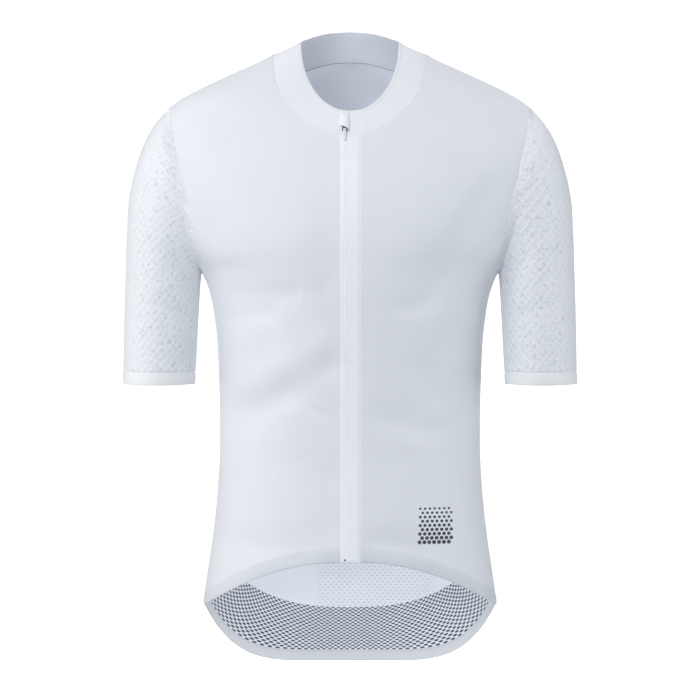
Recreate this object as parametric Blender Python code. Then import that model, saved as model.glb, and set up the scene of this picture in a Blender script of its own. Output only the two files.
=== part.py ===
"""A short-sleeved cycling jersey, filled out and hollow, built as its maker cuts and sews it.

The jersey hangs round the origin, which lies between the two shoulder points, where the wearer's
shoulders carry it. +Z is up, the front faces -Y, and +X is the wearer's left. Left and right are
the wearer's throughout.

Every cloth piece lies on one of three surfaces: the body (a stack of level sections), the sleeve
(a row of rings) or the collar (a band between two loops). A point of the body is given by its turn,
which runs 0 at the centre front, 1 at the left side, 2 at the centre back and 3 at the right side,
and by its drop below the shoulder points. Sizes are millimetres until a mesh is made.
"""

import math
from typing import NamedTuple

import bmesh
import bpy
import numpy as np
from mathutils import Matrix, Vector

# Driving sizes
MM = 0.001
SEAM_GAP = 0.3
CLOTH_WALL = 1.6
BAND_WALL = 2.0
TAPE_WALL = 1.2
POCKET_WALL = 1.4

# Where the pieces meet
UNDERARM_DROP = 239.3
SHOULDER_TIP_DROP = 58.0
FRONT_NECK_DROP = 96.2
NECK_HALF_WIDTH = 84.7
FRONT_HEM_DROP = 551.7
SIDE_HEM_DROP = 603.6
TAIL_HEM_DROP = 675.9
FRONT_HEM_POWER = 2.3
TAIL_HEM_POWER = 5.0
FRONT_BAND_DEPTH = 13.0
BACK_BAND_DEPTH = 12.0
POCKET_SEAM_DROP = 615.9
POCKET_SEAM_RISE = 68.0
POCKET_SEAM_POWER = 2.6
BACK_ARMHOLE_EASE = 4.0

# Collar: its top loop
COLLAR_HALF_WIDTH = 54.1
COLLAR_HALF_DEPTH = 59.0
COLLAR_CENTRE_Y = -11.0
COLLAR_BOW = 0.8

# Rear pockets
POCKET_TOP_DROP = 432.0
POCKET_SIDE_TURN = 0.74
POCKET_DIVIDER_X = 42.0
POCKET_GAPE = 10.0
POCKET_SEAM_MARGIN = 2.0
GAPE_RISE_POWER = 1.3
GAPE_WIDTH_POWER = 0.8

# Zip
ZIP_BAND_HALF_WIDTH = 11.3
CHAIN_HALF_WIDTH = 2.2
CHAIN_THICKNESS = 1.4
SLIDER_LENGTH = 8.0
SLIDER_WIDTH = 5.0
SLIDER_THICKNESS = 1.5
SLIDER_FOOT_HEIGHT = 0.31
EAR_WIDTH = 0.9
EAR_LENGTH = 4.2
EAR_HEIGHT = 2.4
EAR_DROP = 1.3
EAR_LIFT = 1.6
PIN_RADIUS = 0.5
PIN_DROP = 1.8
PIN_LIFT = 2.0
PIN_SIDES = 12
PULL_WIDTH = 3.2
PULL_LENGTH = 13.0
PULL_THICKNESS = 1.0
PULL_RING_RADIUS = 1.4
PULL_RING_STEPS = 15
GARAGE_LEFT_X = -0.5
GARAGE_RIGHT_X = -10.9
GARAGE_RISE = 2.7
GARAGE_DOME_POWER = 4
GARAGE_WALL = 0.9
GARAGE_FOOT_HEIGHT = (0.46, 0.36)

# Steps of the meshes, and how quickly the neck's shift of a panel's rows fades below it
NECK_STEPS = 11
BACK_NECK_STEPS = 11
SHOULDER_STEPS = 5
ARMHOLE_STEPS = 13
FRONT_SIDE_STEPS = 15
BACK_SIDE_STEPS = 13
TAIL_STEPS = 3
SLEEVE_RING_STEPS = 14
COLLAR_STEPS = 3
POCKET_STEPS = 8
ZIP_STEPS = 24
CUFF_STEPS = 2
GARAGE_COLUMNS = 6
GARAGE_ROWS = 3
BISECTIONS = 40
TOP_FADE = 12.0

# Steps for slopes of the surfaces: turns, millimetres, degrees and shares of a length or height
TURN_STEP = 0.004
DROP_STEP = 0.5
ANGLE_STEP = 0.5
SHARE_STEP = 0.002
HEIGHT_STEP = 0.1
SMALL = 1e-6
SHARP_EDGE_DEG = 50


class Level(NamedTuple):
    """A level section of the body: where it is, and how wide, deep and full it is.

    Its front and back quarters are Bezier arcs. A fullness of 0.552 makes them elliptical, and more
    makes them squarer. Between the shoulder tip and the underarm the half width lies under the sleeve.
    """

    drop: float
    half_width: float
    front: float
    back: float
    fullness: float


BODY_LEVELS = [
    Level(0.0, 84.8, 22, 52, 0.56),
    Level(6.0, 95.6, 27, 58, 0.56),
    Level(17.0, 119.8, 35, 66, 0.56),
    Level(28.0, 144.0, 44, 74, 0.56),
    Level(39.0, 167.0, 53, 82, 0.56),
    Level(50.0, 187.0, 61, 88, 0.56),
    Level(58.0, 197.5, 66, 92, 0.555),
    Level(83.0, 215.0, 79, 101, 0.553),
    Level(116.0, 223.0, 96, 109, 0.553),
    Level(149.0, 216.5, 108, 114, 0.553),
    Level(189.0, 199.5, 115, 117, 0.555),
    Level(219.5, 181.0, 116, 115, 0.56),
    Level(239.3, 163.6, 115, 113, 0.57),
    Level(259.0, 155.0, 114, 109.5, 0.58),
    Level(292.0, 148.5, 111, 103, 0.59),
    Level(358.0, 144.0, 106, 93, 0.60),
    Level(402.0, 143.0, 104.5, 90, 0.60),
    Level(446.0, 143.4, 105, 93, 0.60),
    Level(490.0, 146.3, 107.5, 101, 0.60),
    Level(534.0, 151.3, 111, 108.5, 0.60),
    Level(578.0, 157.9, 113.5, 113, 0.60),
    Level(603.6, 161.3, 115, 115, 0.60),
    Level(676.0, 165.0, 116, 116, 0.60),
]


class Reach(NamedTuple):
    """How far out the armhole seam lies at a drop, seen from the front."""

    drop: float
    out: float


ARMHOLE = [
    Reach(58.0, 197.5),
    Reach(70.0, 195.6),
    Reach(87.5, 193.7),
    Reach(102.7, 190.4),
    Reach(119.0, 186.3),
    Reach(136.3, 182.8),
    Reach(151.5, 178.9),
    Reach(190.6, 169.7),
    Reach(221.0, 164.6),
    Reach(239.3, 163.6),
]


class Ring(NamedTuple):
    """A ring of the sleeve: its outer and inner points, its half depth and its centre's y."""

    outer_x: float
    outer_drop: float
    inner_x: float
    inner_drop: float
    half_depth: float
    centre_y: float


SLEEVE_RINGS = [
    Ring(210.7, 72.0, 163.8, 241.5, 60.0, 0.0),
    Ring(224.4, 94.0, 164.1, 245.0, 58.5, -0.3),
    Ring(235.0, 123.0, 164.6, 251.0, 57.0, -0.7),
    Ring(242.3, 155.0, 165.2, 260.0, 55.5, -1.2),
    Ring(245.3, 196.0, 166.1, 277.0, 54.0, -2.0),
    Ring(247.0, 250.0, 167.5, 304.0, 52.0, -3.0),
    Ring(248.5, 312.0, 169.0, 335.0, 50.3, -4.2),
    Ring(249.1, 348.7, 169.8, 348.7, 49.2, -5.0),
    Ring(249.3, 361.9, 170.1, 361.9, 49.0, -5.2),
]
CUFF_BOW = 1.5


class Loop(NamedTuple):
    """A height of a neck loop at an angle, which is 0 at the front and 180 at the back."""

    angle: float
    drop: float


FRONT_NECK = [
    Loop(0, FRONT_NECK_DROP),
    Loop(12, 94.8),
    Loop(22, 88.6),
    Loop(33, 80.0),
    Loop(45, 67.4),
    Loop(56, 55.6),
    Loop(70, 37.2),
    Loop(81, 16.5),
    Loop(90, 0.0),
]
BACK_NECK = [
    Loop(90, 0.0),
    Loop(105, 4.5),
    Loop(120, 7.5),
    Loop(140, 8.8),
    Loop(160, 6.2),
    Loop(180, 4.0),
]
COLLAR_TOP = [
    Loop(0, 66.6),
    Loop(15, 64.2),
    Loop(30, 56.4),
    Loop(45, 44.0),
    Loop(60, 27.8),
    Loop(75, 8.6),
    Loop(90, -10.5),
    Loop(105, -15.2),
    Loop(120, -18.4),
    Loop(135, -22.4),
    Loop(150, -26.0),
    Loop(180, -28.8),
]


class Drift(NamedTuple):
    """Where the zip's chain lies across the front at a drop."""

    drop: float
    x: float


ZIP_DRIFT = [
    Drift(60.0, -5.7),
    Drift(95.0, -5.7),
    Drift(298.0, -4.2),
    Drift(430.0, -2.4),
    Drift(552.0, 0.0),
]


class Fold(NamedTuple):
    """A soft crease between two points of the front or back, seen straight on; a trough sinks."""

    start_x: float
    start_drop: float
    end_x: float
    end_drop: float
    half_width: float
    height: float


FRONT_FOLDS = [
    Fold(-118, 267, -34, 262, 13, -2.6),
    Fold(-132, 360, -30, 318, 16, 1.8),
    Fold(-112, 386, -26, 346, 14, -2.8),
    Fold(-110, 530, -30, 522, 16, -1.9),
    Fold(30, 528, 86, 534, 16, -1.9),
    Fold(158, 158, 92, 258, 22, -2.8),
    Fold(104, 322, 80, 380, 20, -2.4),
    Fold(96, 408, 34, 392, 15, -1.4),
]
BACK_FOLDS = [
    Fold(-150, 178, -70, 262, 22, -2.8),
    Fold(146, 190, 78, 250, 20, -2.4),
    Fold(-110, 352, -20, 372, 16, -2.4),
    Fold(28, 384, 118, 358, 16, -2.6),
    Fold(-70, 404, 60, 410, 12, -1.6),
]


class Look(NamedTuple):
    """A piece's plain finish."""

    colour: tuple[float, float, float]
    roughness: float
    metallic: float


KNIT = Look((0.82, 0.86, 0.90), 0.8, 0.0)
MESH = Look((0.72, 0.76, 0.82), 0.8, 0.0)
NET = Look((0.45, 0.48, 0.55), 0.8, 0.0)
COIL = Look((0.66, 0.70, 0.76), 0.5, 0.0)
PLASTIC = Look((0.85, 0.87, 0.90), 0.4, 0.0)
METAL = Look((0.60, 0.61, 0.63), 0.35, 1.0)


def column(table, name):
    """One column of a table of rows."""
    return np.array([getattr(row, name) for row in table], float)


def smooth(knots, values, at):
    """A cubic curve through a table's rows, with each row's slope taken from its neighbours."""
    knots = np.asarray(knots, float)
    values = np.asarray(values, float)
    slopes = np.gradient(values, knots, axis=0)
    at = np.clip(at, knots[0], knots[-1])
    low = np.clip(np.searchsorted(knots, at, side="right") - 1, 0, len(knots) - 2)
    span = knots[low + 1] - knots[low]
    share = (at - knots[low]) / span
    tail = (1,) * (values.ndim - 1)
    share = share.reshape(share.shape + tail)
    span = span.reshape(span.shape + tail)
    return (
        (2 * share**3 - 3 * share**2 + 1) * values[low]
        + (share**3 - 2 * share**2 + share) * span * slopes[low]
        + (3 * share**2 - 2 * share**3) * values[low + 1]
        + (share**3 - share**2) * span * slopes[low + 1]
    )


def level_size(drop, name):
    """A size of the body's section at a drop."""
    return smooth(column(BODY_LEVELS, "drop"), column(BODY_LEVELS, name), np.asarray(drop, float))


def quarter_arc(share, fullness):
    """Across and forward shares of a quarter section, from its middle (0) to its side (1)."""
    rest = 1 - share
    across = 3 * fullness * share * rest**2 + 3 * share**2 * rest + share**3
    forward = rest**3 + 3 * share * rest**2 + 3 * fullness * share**2 * rest
    return across, forward


def quarter_share(x, drop):
    """The share of a quarter section at which it reaches this far across."""
    target = np.clip(np.asarray(x, float) / level_size(drop, "half_width"), 0, 1)
    fullness = level_size(drop, "fullness")
    low = np.zeros_like(target)
    high = np.ones_like(target)
    for _ in range(BISECTIONS):
        middle = (low + high) / 2
        short = quarter_arc(middle, fullness)[0] < target
        low = np.where(short, middle, low)
        high = np.where(short, high, middle)
    return np.where(target >= 1, 1.0, (low + high) / 2)


def fold_height(folds, x, drop):
    """How far a list of soft creases lifts the cloth at a point."""
    lift = np.zeros_like(x)
    for fold in folds:
        along_x = fold.end_x - fold.start_x
        along_drop = fold.end_drop - fold.start_drop
        length = math.hypot(along_x, along_drop)
        off_x = x - fold.start_x
        off_drop = drop - fold.start_drop
        share = np.clip((off_x * along_x + off_drop * along_drop) / length**2, 0, 1)
        distance = np.hypot(off_x - share * along_x, off_drop - share * along_drop)
        lift += fold.height * np.exp(-((distance / fold.half_width) ** 2))
    return lift


def body(place):
    """Points of the body, folds and all, from an array of (turn, drop)."""
    turn = np.asarray(place[..., 0], float)
    drop = np.asarray(place[..., 1], float)
    is_back = (turn > 1) & (turn < 3)
    is_left = turn <= 2
    from_middle = np.where(is_back, np.abs(turn - 2), np.where(turn <= 1, turn, 4 - turn))
    across, forward = quarter_arc(from_middle, level_size(drop, "fullness"))
    half_width = level_size(drop, "half_width")
    depth = np.where(is_back, level_size(drop, "back"), level_size(drop, "front"))
    x = np.where(is_left, 1, -1) * half_width * across
    y = np.where(is_back, 1, -1) * depth * forward
    out = np.stack([x / half_width**2, y / depth**2], axis=-1)
    out /= np.linalg.norm(out, axis=-1, keepdims=True)
    lift = np.where(is_back, fold_height(BACK_FOLDS, x, drop), fold_height(FRONT_FOLDS, x, drop))
    lift *= forward
    return np.stack([x + out[..., 0] * lift, y + out[..., 1] * lift, -drop], axis=-1)


def places(turn, drop):
    """An array of (turn, drop) from two arrays."""
    turn, drop = np.broadcast_arrays(np.asarray(turn, float), np.asarray(drop, float))
    return np.stack([turn, drop], axis=-1)


def armhole(angle, is_back):
    """Places of the armhole seam, at angles from the shoulder tip (0) to the underarm (180)."""
    middle = (UNDERARM_DROP + SHOULDER_TIP_DROP) / 2
    half = (UNDERARM_DROP - SHOULDER_TIP_DROP) / 2
    angle = np.radians(np.asarray(angle, float))
    drop = middle - half * np.cos(angle)
    reach = smooth(column(ARMHOLE, "drop"), column(ARMHOLE, "out"), drop)
    reach = reach + (BACK_ARMHOLE_EASE * np.sin(angle) if is_back else 0)
    share = np.where(np.sin(angle) < SMALL, 1.0, quarter_share(reach, drop))
    return places(2 - share if is_back else share, drop)


def neckline(angle):
    """Places of the collar's seam on the left half, from the front (0) to the back (180)."""
    angle = np.asarray(angle, float)
    turned = np.radians(angle)
    before = smooth(column(FRONT_NECK, "angle"), column(FRONT_NECK, "drop"), angle)
    behind = smooth(column(BACK_NECK, "angle"), column(BACK_NECK, "drop"), angle)
    drop = np.where(angle <= 90, before, behind)
    share = quarter_share(NECK_HALF_WIDTH * np.sin(turned), drop)
    share = np.where(np.abs(angle - 90) < SMALL, 1.0, share)
    return places(np.where(angle <= 90, share, 2 - share), drop)


def neck_angle_at(x):
    """The angle at which the neckline's front is this far from the middle."""
    return math.degrees(math.asin(x / NECK_HALF_WIDTH))


def side_edge(bottom_drop, steps, is_back):
    """Places up a panel's outer edge: the side seam, the armhole and the shoulder seam."""
    seam = places(1, np.linspace(bottom_drop, UNDERARM_DROP, steps + 1))
    around = armhole(np.linspace(180, 0, ARMHOLE_STEPS + 1), is_back)
    shoulder = places(1, np.linspace(SHOULDER_TIP_DROP, 0, SHOULDER_STEPS + 1))
    return np.concatenate([seam, around[1:], shoulder[1:]])


def front_hem(share):
    """Drop of the front's lower edge at a share of the quarter section."""
    across = quarter_arc(share, level_size(SIDE_HEM_DROP, "fullness"))[0]
    return FRONT_HEM_DROP + (SIDE_HEM_DROP - FRONT_HEM_DROP) * across**FRONT_HEM_POWER


def tail_hem(share):
    """Drop of the tail's lower edge at a share of the quarter section."""
    across = quarter_arc(share, level_size(SIDE_HEM_DROP, "fullness"))[0]
    return TAIL_HEM_DROP - (TAIL_HEM_DROP - SIDE_HEM_DROP) * across**TAIL_HEM_POWER


def pocket_seam(share):
    """Drop of the curved seam under the pockets at a share of the quarter section."""
    across = quarter_arc(share, level_size(SIDE_HEM_DROP, "fullness"))[0]
    return POCKET_SEAM_DROP - POCKET_SEAM_RISE * across**POCKET_SEAM_POWER


def travelled(edge):
    """Share of an edge's own length at each of its places."""
    points = body(edge)
    steps = np.linalg.norm(np.diff(points, axis=0), axis=1)
    run = np.concatenate([[0], np.cumsum(steps)])
    return run / run[-1]


def seen_flat(place):
    """(x, drop) of places on the left half as seen from the front or back, creases aside."""
    from_middle = np.where(place[..., 0] <= 1, place[..., 0], 2 - place[..., 0])
    drop = place[..., 1]
    across = quarter_arc(from_middle, level_size(drop, "fullness"))[0]
    return np.stack([level_size(drop, "half_width") * across, drop], axis=-1)


def between(bottom, top, left, right, is_back):
    """A grid of places spanned by four edges, as they are seen straight on; [across, up].

    Each row first runs straight from the left edge to the right one, with its places spread as the
    bottom's are. Then the rows are shifted so that the lowest is the bottom edge and the highest
    the top one.
    """
    low, high, near, far = (seen_flat(edge) for edge in (bottom, top, left, right))
    across = ((low[:, 0] - low[0, 0]) / (low[-1, 0] - low[0, 0]))[:, None, None]
    up = ((travelled(left) + travelled(right)) / 2)[None, :, None]
    rows = (1 - across) * near[None] + across * far[None]
    seen = rows + (1 - up) * (low[:, None] - rows[:, :1]) + up**TOP_FADE * (high[:, None] - rows[:, -1:])
    share = quarter_share(seen[..., 0], seen[..., 1])
    grid = places(2 - share if is_back else share, seen[..., 1]).copy()
    grid[:, 0], grid[:, -1], grid[0], grid[-1] = bottom, top, left, right
    return grid


def mirrored(grid):
    """A grid of the left half, turned into its twin on the right half."""
    twin = grid[::-1].copy()
    if grid.shape[-1] == 2:
        twin[..., 0] = 4 - twin[..., 0]
    else:
        twin[..., 0] *= -1
    return twin


def trimmed(points, axes=(0, 1)):
    """The grid with half a seam's gap taken off its edges, square to each edge."""
    points = points.copy()
    for axis in axes:
        grid = np.moveaxis(points, axis, 0)
        for edge, inner in ((0, 1), (-1, -2)):
            along = np.gradient(grid[edge], axis=0)
            along /= np.linalg.norm(along, axis=-1, keepdims=True)
            inward = grid[inner] - grid[edge]
            inward = inward - (inward * along).sum(axis=-1, keepdims=True) * along
            inward /= np.linalg.norm(inward, axis=-1, keepdims=True)
            grid[edge] += inward * SEAM_GAP / 2
    return points


def unit(vectors):
    """Vectors brought to a length of one."""
    return vectors / np.linalg.norm(vectors, axis=-1, keepdims=True)


def grid_normals(points):
    """Outward unit normals of a grid of points, from its own rows and columns."""
    return unit(np.cross(np.gradient(points, axis=0), np.gradient(points, axis=1)))


def body_normals(place):
    """Outward unit normals of the body, from the surface just round each place."""
    aside = np.array([TURN_STEP, 0])
    below = np.array([0, DROP_STEP])
    across = body(place + aside) - body(place - aside)
    up = body(place - below) - body(place + below)
    return unit(np.cross(across, up))


def on_body(place, wall):
    """Outer and inner points of a wall on the body."""
    return on_form(trimmed(body(place)), body_normals(place), wall)


def on_form(outer, normals, wall):
    """Outer points of a wall and, below them along the form's normals, its inner points."""
    return outer, outer - normals * wall


def sleeve(angle, share):
    """Points of the left sleeve: angles 0 outside, 90 behind, 180 underneath and 270 in front.

    The share runs from the armhole (0) to the cuff's edge (1). The first ring is the armhole.
    """
    angle = np.mod(np.asarray(angle, float), 360)
    turned = np.radians(angle)
    folded = np.where(angle <= 180, angle, 360 - angle)
    start = np.where((angle <= 180)[:, None], body(armhole(folded, True)), body(armhole(folded, False)))
    rings = [start]
    for ring in SLEEVE_RINGS:
        outer = np.array([ring.outer_x, ring.centre_y, -ring.outer_drop])
        inner = np.array([ring.inner_x, ring.centre_y, -ring.inner_drop])
        points = (outer + inner) / 2 + np.cos(turned)[:, None] * (outer - inner) / 2
        points[:, 1] += ring.half_depth * np.sin(turned)
        rings.append(points)
    for ring in rings[-2:]:
        ring[:, 2] -= CUFF_BOW * np.sin(turned) ** 2
    rings = np.array(rings)
    run = sleeve_run()
    return np.moveaxis(smooth(run, rings, np.asarray(share, float)), 0, 1)


def sleeve_run():
    """Share of the sleeve's length at which each ring lies, measured down its middle."""
    middles = [(180.0, (UNDERARM_DROP + SHOULDER_TIP_DROP) / 2)]
    middles += [
        ((ring.outer_x + ring.inner_x) / 2, (ring.outer_drop + ring.inner_drop) / 2) for ring in SLEEVE_RINGS
    ]
    steps = np.linalg.norm(np.diff(np.array(middles), axis=0), axis=1)
    run = np.concatenate([[0], np.cumsum(steps)])
    return run / run[-1]


def collar(angle, height):
    """Points of the collar: angles as for the neckline, up to 360, and 0 to 1 from seam to top."""
    angle = np.asarray(angle, float)[:, None]
    height = np.asarray(height, float)[None, :]
    folded = np.where(angle <= 180, angle, 360 - angle)
    side = np.where(angle <= 180, 1, -1)
    base = body(neckline(folded))
    turned = np.radians(folded)
    top = np.stack(
        [
            COLLAR_HALF_WIDTH * np.sin(turned),
            COLLAR_CENTRE_Y - COLLAR_HALF_DEPTH * np.cos(turned),
            -smooth(column(COLLAR_TOP, "angle"), column(COLLAR_TOP, "drop"), folded),
        ],
        axis=-1,
    )
    share = height[..., None]
    points = (1 - share) * base + share * top
    bow = 4 * COLLAR_BOW * height * (1 - height)
    points[..., 0] += bow * np.sin(turned)
    points[..., 1] -= bow * np.cos(turned)
    points[..., 0] *= side
    return points


def collar_normals(angle, height):
    """Outward unit normals of the collar; its seam takes the body's, so that the two meet face to face."""
    across = collar(angle + ANGLE_STEP, height) - collar(angle - ANGLE_STEP, height)
    up = collar(angle, height + SHARE_STEP) - collar(angle, height - SHARE_STEP)
    normals = unit(np.cross(across, up))
    at_seam = body_normals(neckline(np.where(angle <= 180, angle, 360 - angle)))
    at_seam[:, 0] *= np.where(angle <= 180, 1, -1)
    normals[:, np.asarray(height) == 0] = at_seam[:, None]
    return normals


def chain_x(drop):
    """Where the zip's chain runs across the front."""
    return smooth(column(ZIP_DRIFT, "drop"), column(ZIP_DRIFT, "x"), np.asarray(drop, float))


def on_front(x, drop):
    """Points of the body's front at an x, whichever side of the middle."""
    share = quarter_share(np.abs(x), drop)
    return body(places(np.where(x >= 0, share, 4 - share), drop))


def on_collar_front(x, height):
    """Points of the collar's front at an x, whichever side of the middle."""
    half_width = (1 - height) * NECK_HALF_WIDTH + height * COLLAR_HALF_WIDTH
    angle = math.degrees(math.asin(abs(x) / half_width))
    return collar([angle if x >= 0 else 360 - angle], [height])[0, 0]


def zip_strip(left_x, right_x, columns):
    """A grid down the zip, between two lines given as functions of the drop; [across, up].

    Its upper rows climb the collar and the rest lie on the body's front.
    """
    shares = np.linspace(0, 1, columns + 1)
    rows = []
    for drop in np.linspace(FRONT_HEM_DROP, FRONT_NECK_DROP, ZIP_STEPS + 1):
        x = left_x(drop) + (right_x(drop) - left_x(drop)) * shares
        rows.append(on_front(x, np.full_like(x, drop)))
    for height in np.linspace(0, 1, COLLAR_STEPS + 1)[1:]:
        drop = FRONT_NECK_DROP * (1 - height) + COLLAR_TOP[0].drop * height
        x = left_x(drop) + (right_x(drop) - left_x(drop)) * shares
        rows.append(np.array([on_collar_front(value, height) for value in x]))
    return np.stack(rows, axis=1)


def wall_mesh(name, outer, inner, is_ring=False):
    """A closed wall between two grids of points; a ring's last column joins its first."""
    columns, rows = outer.shape[:2]
    front = np.arange(columns * rows).reshape(columns, rows)
    back = front + columns * rows
    last = columns if is_ring else columns - 1
    here = np.arange(last)
    following = (here + 1) % columns
    quads = []
    for face, first, second in ((front, here, following), (back, following, here)):
        quads.append(
            np.stack([face[first, :-1], face[second, :-1], face[second, 1:], face[first, 1:]], axis=-1)
        )
    quads.append(np.stack([front[here, 0], back[here, 0], back[following, 0], front[following, 0]], axis=-1))
    quads.append(
        np.stack([front[here, -1], front[following, -1], back[following, -1], back[here, -1]], axis=-1)
    )
    if not is_ring:
        quads.append(np.stack([front[0, :-1], front[0, 1:], back[0, 1:], back[0, :-1]], axis=-1))
        quads.append(np.stack([front[-1, 1:], front[-1, :-1], back[-1, :-1], back[-1, 1:]], axis=-1))
    corners = np.concatenate([outer.reshape(-1, 3), inner.reshape(-1, 3)]) * MM
    faces = np.concatenate([group.reshape(-1, 4) for group in quads])
    mesh = bpy.data.meshes.new(name)
    mesh.from_pydata(corners.tolist(), [], faces.tolist())
    mesh.shade_smooth()
    mesh.set_sharp_from_angle(angle=math.radians(SHARP_EDGE_DEG))
    return mesh


def finish(name, look):
    """A material with a plain colour, roughness and metallic value."""
    material = bpy.data.materials.new(name)
    material.use_nodes = True
    shader = material.node_tree.nodes["Principled BSDF"]
    shader.inputs["Base Color"].default_value = (*look.colour, 1)
    shader.inputs["Roughness"].default_value = look.roughness
    shader.inputs["Metallic"].default_value = look.metallic
    material.diffuse_color = (*look.colour, 1)
    return material


def placed(name, mesh, collection, look):
    """A new object with a material of its own, in the jersey's collection."""
    thing = bpy.data.objects.new(name, mesh)
    mesh.materials.append(finish(name + "_finish", look))
    collection.objects.link(thing)
    return thing


def cloth(name, wall, collection, look, is_ring=False):
    """A piece of cloth from the outer and inner points of its wall."""
    return placed(name, wall_mesh(name, *wall, is_ring), collection, look)


def under(points, wall):
    """A wall below a grid of outer points."""
    return points, points - grid_normals(points) * wall


def front_panels(collection):
    """The two fronts, from the hem bands to the shoulder seams, and their hem bands."""
    hem_share = quarter_share(ZIP_BAND_HALF_WIDTH, FRONT_HEM_DROP)
    shares = np.linspace(hem_share, 1, NECK_STEPS + 1)
    hem = places(shares, front_hem(shares))
    bottom = places(shares, front_hem(shares) - FRONT_BAND_DEPTH)
    top = neckline(np.linspace(neck_angle_at(ZIP_BAND_HALF_WIDTH), 90, NECK_STEPS + 1))
    right = side_edge(bottom[-1, 1], FRONT_SIDE_STEPS, False)
    left_drop = np.linspace(bottom[0, 1], top[0, 1], len(right))
    left = places(quarter_share(ZIP_BAND_HALF_WIDTH, left_drop), left_drop)
    panel = between(bottom, top, left, right, False)
    band = np.stack([hem, (hem + bottom) / 2, bottom], axis=1)
    for side, turned in (("left", lambda grid: grid), ("right", mirrored)):
        cloth("front_" + side, on_body(turned(panel), CLOTH_WALL), collection, KNIT)
        cloth("hem_front_" + side, on_body(turned(band), BAND_WALL), collection, KNIT)


def both_halves(half):
    """A back half, which runs from the side to the middle, joined to its twin."""
    return np.concatenate([half, mirrored(half)[1:]])


def back_panels(collection):
    """The back, the net of the tail and its hem band, each in one piece from side to side."""
    shares = np.linspace(1, 0, BACK_NECK_STEPS + 1)
    bottom = places(2 - shares, pocket_seam(shares))
    top = neckline(np.linspace(90, 180, BACK_NECK_STEPS + 1))
    side = side_edge(bottom[0, 1], BACK_SIDE_STEPS, True)
    middle = places(2, np.linspace(bottom[-1, 1], top[-1, 1], len(side)))
    panel = both_halves(between(bottom, top, side, middle, True))
    hem = places(2 - shares, tail_hem(shares))
    hem_top = places(2 - shares, tail_hem(shares) - BACK_BAND_DEPTH)
    upward = np.linspace(0, 1, TAIL_STEPS + 1)[None, :, None]
    net = both_halves(hem_top[:, None] * (1 - upward) + bottom[:, None] * upward)
    band = both_halves(np.stack([hem, (hem + hem_top) / 2, hem_top], axis=1))
    cloth("back", on_body(panel, CLOTH_WALL), collection, KNIT)
    cloth("tail_net", on_body(net, CLOTH_WALL), collection, NET)
    cloth("hem_back", on_body(band, BAND_WALL), collection, KNIT)


def sleeves(collection):
    """Both sleeves and their cuff bands."""
    angles = np.arange(0, 360, 180 / ARMHOLE_STEPS)
    cuff_start = sleeve_run()[-2]
    tube = sleeve_wall(angles, np.linspace(cuff_start, 0, SLEEVE_RING_STEPS + 1), CLOTH_WALL)
    band = sleeve_wall(angles, np.linspace(1, cuff_start, CUFF_STEPS + 1), BAND_WALL)
    for side, turned in (("left", lambda grid: grid), ("right", mirrored)):
        cloth("sleeve_" + side, [turned(face) for face in tube], collection, MESH, is_ring=True)
        cloth("cuff_" + side, [turned(face) for face in band], collection, KNIT, is_ring=True)


def sleeve_wall(angles, shares, wall):
    """Outer and inner points of a stretch of the left sleeve, from its lower edge up."""
    across = sleeve(angles + ANGLE_STEP, shares) - sleeve(angles - ANGLE_STEP, shares)
    up = sleeve(angles, shares - SHARE_STEP) - sleeve(angles, shares + SHARE_STEP)
    outer = trimmed(sleeve(angles, shares), axes=(1,))
    return on_form(outer, unit(np.cross(across, up)), wall)


def collar_band(collection):
    """The collar, from one side of the zip round the back of the neck to the other."""
    start = neck_angle_at(ZIP_BAND_HALF_WIDTH)
    front = np.linspace(start, 90, NECK_STEPS + 1)
    behind = np.linspace(90, 180, BACK_NECK_STEPS + 1)[1:]
    half = np.concatenate([front, behind])
    angles = np.concatenate([half, 360 - half[-2::-1]])
    heights = np.linspace(0, 1, COLLAR_STEPS + 1)
    points = collar(angles, heights)
    for edge, x in ((0, ZIP_BAND_HALF_WIDTH), (-1, -ZIP_BAND_HALF_WIDTH)):
        for row, height in enumerate(heights):
            points[edge, row] = on_collar_front(x, height)
    wall = on_form(trimmed(points), collar_normals(angles, heights), BAND_WALL)
    cloth("collar", wall, collection, KNIT)


def rear_pockets(collection):
    """The pocket panel on the back, sewn at its sides, bottom and two dividers and open at the top."""
    shares = np.linspace(POCKET_SIDE_TURN, 0, POCKET_STEPS + 1)
    bottom = places(2 - shares, pocket_seam(shares) - POCKET_SEAM_MARGIN)
    top = places(2 - shares, POCKET_TOP_DROP)
    upward = np.linspace(0, 1, POCKET_STEPS + 1)[None, :, None]
    place = both_halves(bottom[:, None] * (1 - upward) + top[:, None] * upward)
    points = body(place)
    side_x = np.abs(points[0, :, 0]).mean()
    gape = pocket_gape(points[..., 0], side_x) * np.sin(upward[..., 0] * math.pi / 2) ** GAPE_RISE_POWER
    lift = SEAM_GAP + POCKET_WALL + POCKET_GAPE * gape
    points = points + grid_normals(points) * lift[..., None]
    cloth("rear_pockets", under(points, POCKET_WALL), collection, KNIT)


def pocket_gape(x, side_x):
    """How far a pocket stands open across the back: 0 at its seams and 1 in its middle."""
    x = np.abs(x)
    in_centre = np.cos(np.clip(x / POCKET_DIVIDER_X, 0, 1) * math.pi / 2)
    beside = (x - POCKET_DIVIDER_X) / (side_x - POCKET_DIVIDER_X)
    in_side = np.sin(np.clip(beside, 0, 1) * math.pi)
    return np.where(x < POCKET_DIVIDER_X, in_centre, in_side) ** GAPE_WIDTH_POWER


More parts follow.
